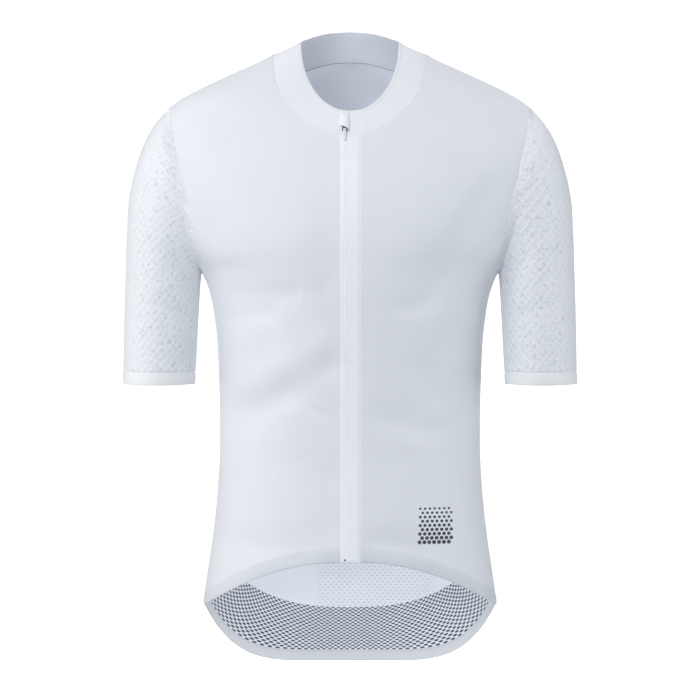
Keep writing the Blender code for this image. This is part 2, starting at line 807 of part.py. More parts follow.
def zip_parts(collection):
    """The zip's two tapes and, behind them, its chain."""
    half_gap = SEAM_GAP / 2
    edge = ZIP_BAND_HALF_WIDTH - half_gap
    right_tape = zip_strip(lambda drop: -edge, lambda drop: chain_x(drop) - half_gap, 1)
    left_tape = zip_strip(lambda drop: chain_x(drop) + half_gap, lambda drop: edge, 2)
    half_chain = CHAIN_HALF_WIDTH
    chain = zip_strip(lambda drop: chain_x(drop) - half_chain, lambda drop: chain_x(drop) + half_chain, 1)
    cloth("zip_tape_right", under(right_tape, TAPE_WALL), collection, KNIT)
    cloth("zip_tape_left", under(left_tape, TAPE_WALL), collection, KNIT)
    behind = chain - grid_normals(chain) * (TAPE_WALL + SEAM_GAP)
    cloth("zip_chain", under(behind, CHAIN_THICKNESS), collection, COIL)


def garage(collection):
    """The fold of cloth at the top of the zip, domed over the slider."""
    columns = np.linspace(GARAGE_RIGHT_X, GARAGE_LEFT_X, GARAGE_COLUMNS + 1)
    shares = np.linspace(0, 1, GARAGE_ROWS + 1)
    points = np.empty((len(columns), len(shares), 3))
    for i, x in enumerate(columns):
        foot = np.interp(x, [GARAGE_RIGHT_X, GARAGE_LEFT_X], GARAGE_FOOT_HEIGHT)
        for j, share in enumerate(shares):
            points[i, j] = on_collar_front(x, foot + (1 - foot) * share)
    middle = (GARAGE_LEFT_X + GARAGE_RIGHT_X) / 2
    offset = (columns - middle) / (GARAGE_LEFT_X - middle)
    lift = SEAM_GAP + GARAGE_WALL + GARAGE_RISE * (1 - np.abs(offset) ** GARAGE_DOME_POWER)
    points = points + grid_normals(points) * lift[:, None, None]
    cloth("zip_garage", under(points, GARAGE_WALL), collection, KNIT)


def slider_frame():
    """Where the slider lies: the foot of its body, and unit vectors across, up the collar and out."""
    x = float(chain_x(FRONT_NECK_DROP))
    foot = Vector(on_collar_front(x, SLIDER_FOOT_HEIGHT))
    above = Vector(on_collar_front(x, SLIDER_FOOT_HEIGHT + HEIGHT_STEP))
    up = (above - foot).normalized()
    across = Vector((1, 0, 0))
    up = (up - across * up.dot(across)).normalized()
    out = across.cross(up)
    return foot * MM, across, up, out


def in_frame(thing, origin, across, up, out):
    """Gives a mesh drawn with x across, y up and z out its place on the zip."""
    turn = Matrix((across, up, out)).transposed().to_4x4()
    thing.matrix_world = Matrix.Translation(origin) @ turn


def box_into(cells, size, centre):
    """Adds a box to a bmesh, from millimetres."""
    place = Matrix.Scale(MM, 4) @ Matrix.Translation(centre) @ Matrix.Diagonal((*size, 1))
    bmesh.ops.create_cube(cells, size=1, matrix=place)


def rod_into(cells, radius, length, centre):
    """Adds a rod along x to a bmesh, from millimetres."""
    along_x = Matrix.Rotation(math.radians(90), 4, "Y")
    place = Matrix.Scale(MM, 4) @ Matrix.Translation(centre) @ along_x
    bmesh.ops.create_cone(
        cells, cap_ends=True, segments=PIN_SIDES, radius1=radius, radius2=radius, depth=length, matrix=place
    )


def joined_by_union(name, makers, collection, look):
    """One closed body from several plain shapes, each made by a function that fills a bmesh."""
    pieces = []
    for number, maker in enumerate(makers):
        cells = bmesh.new()
        maker(cells)
        mesh = bpy.data.meshes.new(f"{name}_{number}")
        cells.to_mesh(mesh)
        cells.free()
        pieces.append(mesh)
    thing = placed(name, pieces[0], collection, look)
    for number, mesh in enumerate(pieces[1:]):
        helper = bpy.data.objects.new(f"{name}_helper_{number}", mesh)
        helper.hide_render = True
        helper.display_type = "WIRE"
        cutter_collection().objects.link(helper)
        helper.parent = thing
        union = thing.modifiers.new(f"union_{number}", "BOOLEAN")
        union.operation = "UNION"
        union.object = helper
    return thing


def cutter_collection():
    """The collection of shapes that only join or cut."""
    return bpy.data.collections["jersey_helpers"]


def slider_and_pull(collection):
    """The slider on the chain, with its ears and pin, and the pull tab that hangs on the pin."""
    origin, across, up, out = slider_frame()
    ear_x = (PULL_WIDTH + EAR_WIDTH) / 2 + SEAM_GAP
    pin = (0, -PIN_DROP, PIN_LIFT)

    def block(cells):
        size = (SLIDER_WIDTH, SLIDER_LENGTH, SLIDER_THICKNESS)
        box_into(cells, size, (0, SLIDER_LENGTH / 2, SEAM_GAP + SLIDER_THICKNESS / 2))

    def ear(side):
        centre = (side * ear_x, -EAR_DROP, SEAM_GAP + EAR_LIFT)
        return lambda cells: box_into(cells, (EAR_WIDTH, EAR_LENGTH, EAR_HEIGHT), centre)

    def axle(cells):
        rod_into(cells, PIN_RADIUS, 2 * ear_x, pin)

    slider = joined_by_union("zip_slider", [block, ear(-1), ear(1), axle], collection, METAL)
    in_frame(slider, origin, across, up, out)
    pull = placed("zip_pull", pull_mesh(), collection, PLASTIC)
    in_frame(pull, origin + (up * pin[1] + out * pin[2]) * MM, across, up, out)


def pull_outline():
    """The tab seen from its side, as (along, out) from the pin's axis: a flat tab below a ring."""
    half = PULL_THICKNESS / 2
    root = math.asin(half / PULL_RING_RADIUS)
    angles = np.linspace(math.pi + root, 3 * math.pi - root, PULL_RING_STEPS)
    ring = [(PULL_RING_RADIUS * math.cos(angle), PULL_RING_RADIUS * math.sin(angle)) for angle in angles]
    return [(-PULL_LENGTH, -half)] + ring + [(-PULL_LENGTH, half)]


def pull_mesh():
    """The pull tab, drawn round its pin's axis, with the pin's hole through its ring."""
    hole = PIN_RADIUS + SEAM_GAP
    angles = np.linspace(0, 2 * math.pi, PIN_SIDES, endpoint=False)
    inner = [(hole * math.cos(angle), hole * math.sin(angle)) for angle in angles]
    cells = bmesh.new()
    edges = []
    for outline in (pull_outline(), inner):
        corners = [cells.verts.new((-PULL_WIDTH / 2 * MM, along * MM, out * MM)) for along, out in outline]
        edges += [cells.edges.new(ends) for ends in zip(corners, corners[1:] + corners[:1])]
    bmesh.ops.triangle_fill(cells, use_beauty=True, edges=edges)
    made = bmesh.ops.extrude_face_region(cells, geom=cells.faces[:])
    moved = [item for item in made["geom"] if isinstance(item, bmesh.types.BMVert)]
    bmesh.ops.translate(cells, vec=(PULL_WIDTH * MM, 0, 0), verts=moved)
    bmesh.ops.recalc_face_normals(cells, faces=cells.faces[:])
    mesh = bpy.data.meshes.new("zip_pull")
    cells.to_mesh(mesh)
    cells.free()
    return mesh


def main():
    """Clears the scene and builds the jersey."""
    for thing in list(bpy.data.objects):
        bpy.data.objects.remove(thing, do_unlink=True)
    jersey = bpy.data.collections.new("cycling_jersey")
    helpers = bpy.data.collections.new("jersey_helpers")
    for collection in (jersey, helpers):
        bpy.context.scene.collection.children.link(collection)
    front_panels(jersey)
    back_panels(jersey)
    sleeves(jersey)
    collar_band(jersey)
    rear_pockets(jersey)
    zip_parts(jersey)
    garage(jersey)
    slider_and_pull(jersey)


main()
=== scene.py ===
"""The looks of a short-sleeved cycling jersey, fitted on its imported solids.

Each piece of cloth lies on the surface of its solid: the body (a stack of level sections), the
sleeve (a row of rings) or the collar (a band between two loops). A place on the body is its turn,
which runs 0 at the centre front, 1 at the left side, 2 at the centre back and 3 at the right side,
and its drop below the shoulder points. Left and right are the wearer's, and the left is +X.
Grids run [across, up]. Sizes are millimetres until a mesh is made.
"""

import logging
import math
from dataclasses import dataclass, field
from enum import Enum
from typing import Callable, NamedTuple, Sequence

import bpy
import numpy as np
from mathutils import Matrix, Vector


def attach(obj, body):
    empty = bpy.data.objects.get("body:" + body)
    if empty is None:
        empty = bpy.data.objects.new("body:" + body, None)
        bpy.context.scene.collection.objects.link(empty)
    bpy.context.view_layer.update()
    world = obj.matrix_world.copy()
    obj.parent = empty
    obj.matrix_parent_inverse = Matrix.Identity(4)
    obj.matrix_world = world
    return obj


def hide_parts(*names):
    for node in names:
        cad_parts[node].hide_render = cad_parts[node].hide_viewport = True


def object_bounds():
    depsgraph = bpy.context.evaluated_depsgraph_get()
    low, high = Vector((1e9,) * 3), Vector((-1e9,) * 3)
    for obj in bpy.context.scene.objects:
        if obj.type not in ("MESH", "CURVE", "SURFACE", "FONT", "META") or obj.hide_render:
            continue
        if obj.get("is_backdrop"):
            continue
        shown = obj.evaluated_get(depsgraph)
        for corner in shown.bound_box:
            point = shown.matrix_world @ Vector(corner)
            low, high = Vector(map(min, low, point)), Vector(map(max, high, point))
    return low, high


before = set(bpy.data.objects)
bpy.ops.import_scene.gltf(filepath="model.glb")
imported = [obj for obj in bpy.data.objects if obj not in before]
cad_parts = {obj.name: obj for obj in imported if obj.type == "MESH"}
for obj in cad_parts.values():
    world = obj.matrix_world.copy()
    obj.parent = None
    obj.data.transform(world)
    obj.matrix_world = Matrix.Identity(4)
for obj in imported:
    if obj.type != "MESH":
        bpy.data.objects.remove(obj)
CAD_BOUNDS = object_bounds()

LOG = logging.getLogger("jersey")
Array = np.ndarray
Colour = tuple[float, float, float]
Shape = tuple[Array, Array]
Table = tuple[tuple[float, float], ...]
MM = 0.001
SMALL = 1e-6
FLAT_MAP = "flat_mm"
GARMENT = "garment"
CREASE_FADE_IN = (-0.08, 0.3)
CREASE_FADE_OUT = (0.7, 1.08)
SHARP_DEGREES = 60


class Level(NamedTuple):
    """A level section of the body: where it is, and how wide, deep and full it is."""

    drop: float
    half_width: float
    front: float
    back: float
    fullness: float


BODY_LEVELS = (
    Level(0, 84.8, 22, 52, 0.56), Level(6, 95.6, 27, 58, 0.56), Level(17, 119.8, 35, 66, 0.56),
    Level(28, 144, 44, 74, 0.56), Level(39, 167, 53, 82, 0.56), Level(50, 187, 61, 88, 0.56),
    Level(58, 197.5, 66, 92, 0.555), Level(83, 215, 79, 101, 0.553),
    Level(116, 223, 96, 109, 0.553), Level(149, 216.5, 108, 114, 0.553),
    Level(189, 199.5, 115, 117, 0.555), Level(219.5, 181, 116, 115, 0.56),
    Level(239.3, 163.6, 115, 113, 0.57), Level(259, 155, 114, 109.5, 0.58),
    Level(292, 148.5, 111, 103, 0.59), Level(358, 144, 106, 93, 0.60),
    Level(402, 143, 104.5, 90, 0.60), Level(446, 143.4, 105, 93, 0.60),
    Level(490, 146.3, 107.5, 101, 0.60), Level(534, 151.3, 111, 108.5, 0.60),
    Level(578, 157.9, 113.5, 113, 0.60), Level(603.6, 161.3, 115, 115, 0.60),
    Level(676, 165, 116, 116, 0.60),
)


class Ring(NamedTuple):
    """A ring of the sleeve: its outer and inner points, its half depth and its centre's y."""

    outer_x: float
    outer_drop: float
    inner_x: float
    inner_drop: float
    half_depth: float
    centre_y: float


SLEEVE_RINGS = (
    Ring(210.7, 72, 163.8, 241.5, 60, 0), Ring(224.4, 94, 164.1, 245, 58.5, -0.3),
    Ring(235, 123, 164.6, 251, 57, -0.7), Ring(242.3, 155, 165.2, 260, 55.5, -1.2),
    Ring(245.3, 196, 166.1, 277, 54, -2), Ring(247, 250, 167.5, 304, 52, -3),
    Ring(248.5, 312, 169, 335, 50.3, -4.2), Ring(249.1, 348.7, 169.8, 348.7, 49.2, -5),
    Ring(249.3, 361.9, 170.1, 361.9, 49, -5.2),
)

# How far out the armhole seam lies at each drop, seen from the front.
ARMHOLE: Table = (
    (58, 197.5), (70, 195.6), (87.5, 193.7), (102.7, 190.4), (119, 186.3), (136.3, 182.8),
    (151.5, 178.9), (190.6, 169.7), (221, 164.6), (239.3, 163.6),
)
# The drop of the neck's loops at each angle, which is 0 at the front and 180 at the back.
FRONT_NECK: Table = (
    (0, 96.2), (12, 94.8), (22, 88.6), (33, 80), (45, 67.4), (56, 55.6), (70, 37.2), (81, 16.5),
    (90, 0),
)
BACK_NECK: Table = (
    (90, 0), (105, 5.5), (120, 10), (133, 12.8), (145, 12.8), (156, 8.7), (168, 5), (180, 4),
)
COLLAR_TOP: Table = (
    (0, 66.6), (15, 64.2), (30, 56.4), (45, 44), (60, 27.8), (75, 8.6), (90, -10.5),
    (105, -15.2), (120, -18.4), (135, -22.4), (150, -26), (180, -28.8),
)
# How far across the front the zip's chain lies at each drop.
ZIP_DRIFT: Table = ((60, -5.7), (95, -5.7), (298, -4.2), (430, -2.4), (552, 0))


class Crease(NamedTuple):
    """A soft crease between two points, seen straight on; a trough sinks and a ridge rises.

    Its half width and height are millimetres, and its bow is how far its middle sags.
    """

    start_x: float
    start_drop: float
    end_x: float
    end_drop: float
    half_width: float
    height: float
    bow: float = 0.0


def creases(*rows: tuple[float, ...]) -> tuple[Crease, ...]:
    """Creases from rows of their numbers."""
    return tuple(Crease(*row) for row in rows)


FRONT_FOLDS = creases(
    (-118, 267, -34, 262, 13, -2.6), (-132, 360, -30, 318, 16, 1.8),
    (-112, 386, -26, 346, 14, -2.8), (-110, 530, -30, 522, 16, -1.9),
    (30, 528, 86, 534, 16, -1.9), (158, 158, 92, 258, 22, -2.8),
    (104, 322, 80, 380, 20, -2.4), (96, 408, 34, 392, 15, -1.4),
)
BACK_FOLDS = creases(
    (-150, 178, -70, 262, 22, -2.8), (146, 190, 78, 250, 20, -2.4),
    (-110, 352, -20, 372, 16, -2.4), (28, 384, 118, 358, 16, -2.6),
    (-70, 404, 60, 410, 12, -1.6),
)
FRONT_CREASES = creases(
    (-150, 288, -72, 281, 12, -3.2, 3), (-58, 264, -26, 262, 13, 1.4),
    (-150, 214, -20, 206, 46, 3.2), (20, 214, 140, 200, 42, 2.4),
    (-132, 360, -30, 318, 16, -1.2), (-112, 386, -26, 346, 14, 2.4),
    (-138, 384, -40, 334, 17, 2.2, -7), (-130, 424, -42, 366, 15, -3.4, -10),
    (-50, 384, -11, 399, 6, -0.9, 2), (-66, 437, -13, 473, 8, -1.0, -3),
    (-142, 530, -28, 543, 12, -2.4, 3), (-100, 486, -40, 500, 9, -0.7, 2),
    (14, 532, 84, 546, 11, -2.0, -3), (164, 130, 80, 290, 15, -4.4, 3),
    (44, 284, 96, 272, 11, -2.0), (70, 330, 112, 392, 14, -2.0, 3),
    (24, 398, 112, 414, 13, -2.0, 4), (20, 452, 96, 440, 9, -0.5, -3),
    (88, 126, 190, 110, 6, -0.8, 3), (84, 115, 176, 101, 6, 0.5, 2),
    (-146, 196, -127, 231, 9, 0.8, 2), (-176, 150, -96, 222, 11, -0.7, 5),
)
BACK_CREASES = creases(
    (-160, 170, -66, 268, 9, -1.3, 6), (154, 186, 72, 256, 9, -1.2, -5),
    (-122, 262, -20, 246, 8, -0.9, 4), (16, 238, 118, 270, 8, -0.9, -4),
    (-118, 350, -14, 374, 8, -1.2, 4), (22, 388, 126, 356, 8, -1.3, -4),
    (-80, 402, 70, 411, 7, -0.9, 3), (-128, 312, -40, 330, 10, 0.7, 3),
    (36, 330, 130, 306, 10, 0.7, -3),
)
# On the sleeve the first and third numbers are degrees round it.
SLEEVE_CREASES = creases(
    (196, 268, 262, 214, 8, -1.6, 4), (206, 300, 296, 276, 9, -1.1, -4),
    (188, 330, 250, 338, 8, -0.8, 3), (290, 214, 352, 246, 10, -0.9, 3),
    (164, 268, 100, 216, 8, -1.5, 4), (156, 304, 70, 280, 9, -1.0, -4),
    (172, 332, 112, 340, 8, -0.8, 3), (66, 214, 8, 250, 10, -0.9, 3),
)


def smooth(knots: Array, values: Array, at: Array) -> Array:
    """A cubic through a table's rows, each row's slope taken from its neighbours.

    Args:
        knots: where the rows are, rising.
        values: the rows' values, of any shape after the first axis.
        at: where the curve is wanted.

    Returns:
        The curve's values, with the shape of at followed by that of a row.
    """
    slopes = np.gradient(values, knots, axis=0)
    at = np.clip(at, knots[0], knots[-1])
    low = np.clip(np.searchsorted(knots, at, side="right") - 1, 0, len(knots) - 2)
    span = knots[low + 1] - knots[low]
    share = (at - knots[low]) / span
    tail = (1,) * (values.ndim - 1)
    share, span = share.reshape(share.shape + tail), span.reshape(span.shape + tail)
    return (
        (2 * share**3 - 3 * share**2 + 1) * values[low]
        + (share**3 - 2 * share**2 + share) * span * slopes[low]
        + (3 * share**2 - 2 * share**3) * values[low + 1]
        + (share**3 - share**2) * span * slopes[low + 1]
    )


def looked_up(table: Table, at: Array | float) -> Array:
    """The values of a table of two columns where they are wanted, by the smooth cubic."""
    knots, values = np.array(table, float).T
    return smooth(knots, values, np.asarray(at, float))


def read_off(wanted: Array | float, run: Array, rows: Array) -> Array:
    """The rows' values where they are wanted along their rising run, straight from row to row."""
    return np.stack([np.interp(wanted, run, axis) for axis in rows.T], axis=-1)


def eased(value: Array, low: float, high: float) -> Array:
    """A smooth step from 0 at low to 1 at high: 3t squared less 2t cubed."""
    share = np.clip((value - low) / (high - low), 0, 1)
    return share * share * (3 - 2 * share)


def bell(distance: Array, width: float) -> Array:
    """A bell curve of a distance: 1 at 0, and 0.37 at the width."""
    return np.exp(-((distance / width) ** 2))


def circle(count: int) -> Array:
    """Angles all round, evenly spaced, in radians."""
    return np.linspace(0, 2 * math.pi, count, endpoint=False)


def folded(angle: Array) -> Array:
    """Degrees all round brought to one half, 0 to 180."""
    return np.where(angle <= 180, angle, 360 - angle)


def unit(vectors: Array) -> Array:
    """Vectors brought to a length of one."""
    return vectors / np.maximum(np.linalg.norm(vectors, axis=-1, keepdims=True), SMALL)


def stacked(*parts: Array | float) -> Array:
    """Arrays of any shapes that fit together, stacked along a new last axis."""
    return np.stack(np.broadcast_arrays(*parts), axis=-1)


def places(turn: Array | float, drop: Array | float) -> Array:
    """An array of (turn, drop) from the two."""
    return stacked(np.asarray(turn, float), np.asarray(drop, float))


def mirrored(grid: Array) -> Array:
    """The right twin of a grid of the left half, with its columns the other way round.

    Args:
        grid: places, points, normals or a mask.

    Returns:
        The twin: a place's turn becomes 4 less itself, and an x changes its sign.
    """
    twin = grid[::-1].copy()
    if grid.shape[-1] == 2:
        twin[..., 0] = 4 - twin[..., 0]
    elif grid.shape[-1] == 3:
        twin[..., 0] *= -1
    return twin


def both_halves(half: Array) -> Array:
    """A back half, which runs from the side to the middle, joined to its twin."""
    return np.concatenate([half, mirrored(half)[1:]])


def travel(points: Array) -> Array:
    """Distance travelled along the first axis of an array of points."""
    steps = np.linalg.norm(np.diff(points, axis=0), axis=-1)
    return np.concatenate([np.zeros_like(steps[:1]), np.cumsum(steps, axis=0)])


def climb(points: Array) -> Array:
    """Distance travelled up each column of a grid of points."""
    return travel(np.moveaxis(points, 1, 0)).T


def travelled_flat(points: Array) -> Array:
    """Flat coordinates from a grid itself: along its middle row, and up each column."""
    return stacked(travel(points[:, points.shape[1] // 2])[:, None], climb(points))


def grid_normals(points: Array) -> Array:
    """Outward unit normals of a grid, from its own columns and rows."""
    return unit(np.cross(np.gradient(points, axis=0), np.gradient(points, axis=1)))


def surface_normals(surface: Callable[[Array, Array], Array], across: Array, up: Array,
                    steps: tuple[float, float]) -> Array:
    """Outward unit normals of a surface of two parameters, from points just round each.

    Args:
        surface: gives points from the two parameters.
        across: the first parameter.
        up: the second one.
        steps: how far round each point to look, signed so that the second step goes up.

    Returns:
        The normals.
    """
    aside = surface(across + steps[0], up) - surface(across - steps[0], up)
    above = surface(across, up + steps[1]) - surface(across, up - steps[1])
    return unit(np.cross(aside, above))


def crown(upward: Array, width: float, edge_dip: float) -> Array:
    """A band's height at shares of its width: a half sine, with a dip at its upper edge."""
    return 0.35 * np.sin(math.pi * upward) - edge_dip * bell(width * (1 - upward), 1.0)


def crease_height(rows: Sequence[Crease], x: Array, drop: Array, tapered: bool) -> Array:
    """How far creases lift the cloth at points seen straight on.

    Each adds its height times a bell curve of the distance from its centre line. A plain fold ends
    in round caps. A tapered crease bows as 4t(1 - t) and fades in and out over its end quarters.

    Args:
        rows: the creases.
        x: how far across each point is.
        drop: how far down it is.
        tapered: whether the creases bow and fade at their ends.

    Returns:
        The lift, outward positive.
    """
    lift = np.zeros_like(x)
    for crease in rows:
        along_x = crease.end_x - crease.start_x
        along_drop = crease.end_drop - crease.start_drop
        length = math.hypot(along_x, along_drop)
        off_x, off_drop = x - crease.start_x, drop - crease.start_drop
        part = (off_x * along_x + off_drop * along_drop) / length**2
        share = np.clip(part, 0, 1)
        if tapered:
            aside = (off_drop * along_x - off_x * along_drop) / length
            aside = aside - crease.bow * 4 * share * (1 - share)
            window = eased(part, *CREASE_FADE_IN) * (1 - eased(part, *CREASE_FADE_OUT))
            lift += crease.height * window * bell(aside, crease.half_width)
        else:
            distance = np.hypot(off_x - share * along_x, off_drop - share * along_drop)
            lift += crease.height * bell(distance, crease.half_width)
    return lift


class Side(Enum):
    """The wearer's side that a piece is on, as the sign of its x."""

    LEFT = 1
    RIGHT = -1

    @property
    def word(self) -> str:
        """The side in small letters, as the nodes' names have it."""
        return self.name.lower()

    def turned(self, grid: Array) -> Array:
        """A grid of the left brought to this side."""
        return grid if self is Side.LEFT else mirrored(grid)


class Weave(Enum):
    """How a cloth's threads run, which sets its relief."""

    KNIT = "knit"
    RIB = "rib"
    TWILL = "twill"


@dataclass(frozen=True)
class BodyForm:
    """The body: a stack of level sections whose front and back quarters are Bezier arcs."""

    levels: tuple[Level, ...] = BODY_LEVELS
    bisections: int = 40
    turn_step: float = 0.004
    drop_step: float = 0.5
    girth_steps: int = 16

    def size(self, drop: Array | float, name: str) -> Array:
        """A size of the body's section at a drop."""
        table = tuple((level.drop, getattr(level, name)) for level in self.levels)
        return looked_up(table, drop)

    @staticmethod
    def arc(share: Array, fullness: Array) -> tuple[Array, Array]:
        """A quarter section, as a cubic Bezier arc.

        Args:
            share: from its middle (0) to its side (1).
            fullness: how far its two handles reach.

        Returns:
            How far across and how far forward it is, as shares of its half width and depth.
        """
        rest = 1 - share
        across = 3 * fullness * share * rest**2 + 3 * share**2 * rest + share**3
        forward = rest**3 + 3 * share * rest**2 + 3 * fullness * share**2 * rest
        return across, forward

    def share_at(self, x: Array | float, drop: Array | float) -> Array:
        """The share of a quarter section at which it reaches this far across, by halving.

        Args:
            x: how far across, never negative.
            drop: the section's drop.

        Returns:
            The share, 1 where the section is narrower.
        """
        target = np.clip(np.asarray(x, float) / self.size(drop, "half_width"), 0, 1)
        fullness = self.size(drop, "fullness")
        low, high = np.zeros_like(target), np.ones_like(target)
        for _ in range(self.bisections):
            middle = (low + high) / 2
            short = self.arc(middle, fullness)[0] < target
            low, high = np.where(short, middle, low), np.where(short, high, middle)
        return np.where(target >= 1, 1.0, (low + high) / 2)

    def parts(self, place: Array) -> tuple[Array, Array, Array, Array, Array]:
        """What every method needs of the places.

        Args:
            place: an array of (turn, drop).

        Returns:
            x, y, the section's outward direction, the forward share and whether it is the back.
        """
        turn, drop = place[..., 0], place[..., 1]
        is_back = (turn > 1) & (turn < 3)
        from_middle = np.where(is_back, np.abs(turn - 2), np.where(turn <= 1, turn, 4 - turn))
        across, forward = self.arc(from_middle, self.size(drop, "fullness"))
        half_width = self.size(drop, "half_width")
        depth = np.where(is_back, self.size(drop, "back"), self.size(drop, "front"))
        x = np.where(turn <= 2, 1, -1) * half_width * across
        y = np.where(is_back, 1, -1) * depth * forward
        return x, y, unit(stacked(x / half_width**2, y / depth**2)), forward, is_back

    def lifted(self, place: Array, front: Sequence[Crease], back: Sequence[Crease],
               tapered: bool) -> Array:
        """Points of the body with creases, which fade towards the sides with the forward share.

        Args:
            place: an array of (turn, drop).
            front: creases of the front.
            back: creases of the back.
            tapered: whether they bow and fade at their ends.

        Returns:
            The points.
        """
        x, y, out, forward, is_back = self.parts(place)
        drop = place[..., 1]
        before, behind = (crease_height(rows, x, drop, tapered) for rows in (front, back))
        lift = np.where(is_back, behind, before) * forward
        return stacked(x + out[..., 0] * lift, y + out[..., 1] * lift, -drop)

    def points(self, place: Array) -> Array:
        """Points of the solid's surface: the section's x and y, moved out by the broad folds."""
        return self.lifted(place, FRONT_FOLDS, BACK_FOLDS, False)

    def dressed(self, place: Array) -> Array:
        """Points of the cloth: the solid's surface with the fine creases added."""
        fine = self.lifted(place, FRONT_CREASES, BACK_CREASES, True)
        return self.points(place) + fine - self.lifted(place, (), (), True)

    def normals(self, place: Array) -> Array:
        """Outward unit normals of the solid's surface.

        Args:
            place: an array of (turn, drop).

        Returns:
            The normals, one for each place.
        """
        steps = (self.turn_step, -self.drop_step)
        turn, drop = place[..., 0], place[..., 1]
        return surface_normals(lambda *both: self.points(places(*both)), turn, drop, steps)

    def girth(self, place: Array) -> Array:
        """Distance round the section, summed over short chords.

        Args:
            place: an array of (turn, drop).

        Returns:
            The distance from the centre front or back, negative on the way to a lower turn.
        """
        turn = place[..., 0]
        start = np.where((turn > 1) & (turn < 3), 2.0, np.where(turn > 2, 4.0, 0.0))
        steps = np.linspace(0, 1, self.girth_steps + 1).reshape((-1,) + (1,) * turn.ndim)
        along = start + (turn - start) * steps
        x, y = self.parts(places(along, place[..., 1]))[:2]
        total = np.hypot(np.diff(x, axis=0), np.diff(y, axis=0)).sum(axis=0)
        return np.where(turn > start, 1, -1) * total

    def flat(self, place: Array) -> Array:
        """Flat coordinates of the cloth: the girth across and the drop upwards."""
        return stacked(self.girth(place), -place[..., 1])

    def on_front(self, x: Array, drop: Array) -> Array:
        """Places of the body's front at an x, whichever side of the middle."""
        share = self.share_at(np.abs(x), drop)
        return places(np.where(x >= 0, share, 4 - share), drop)


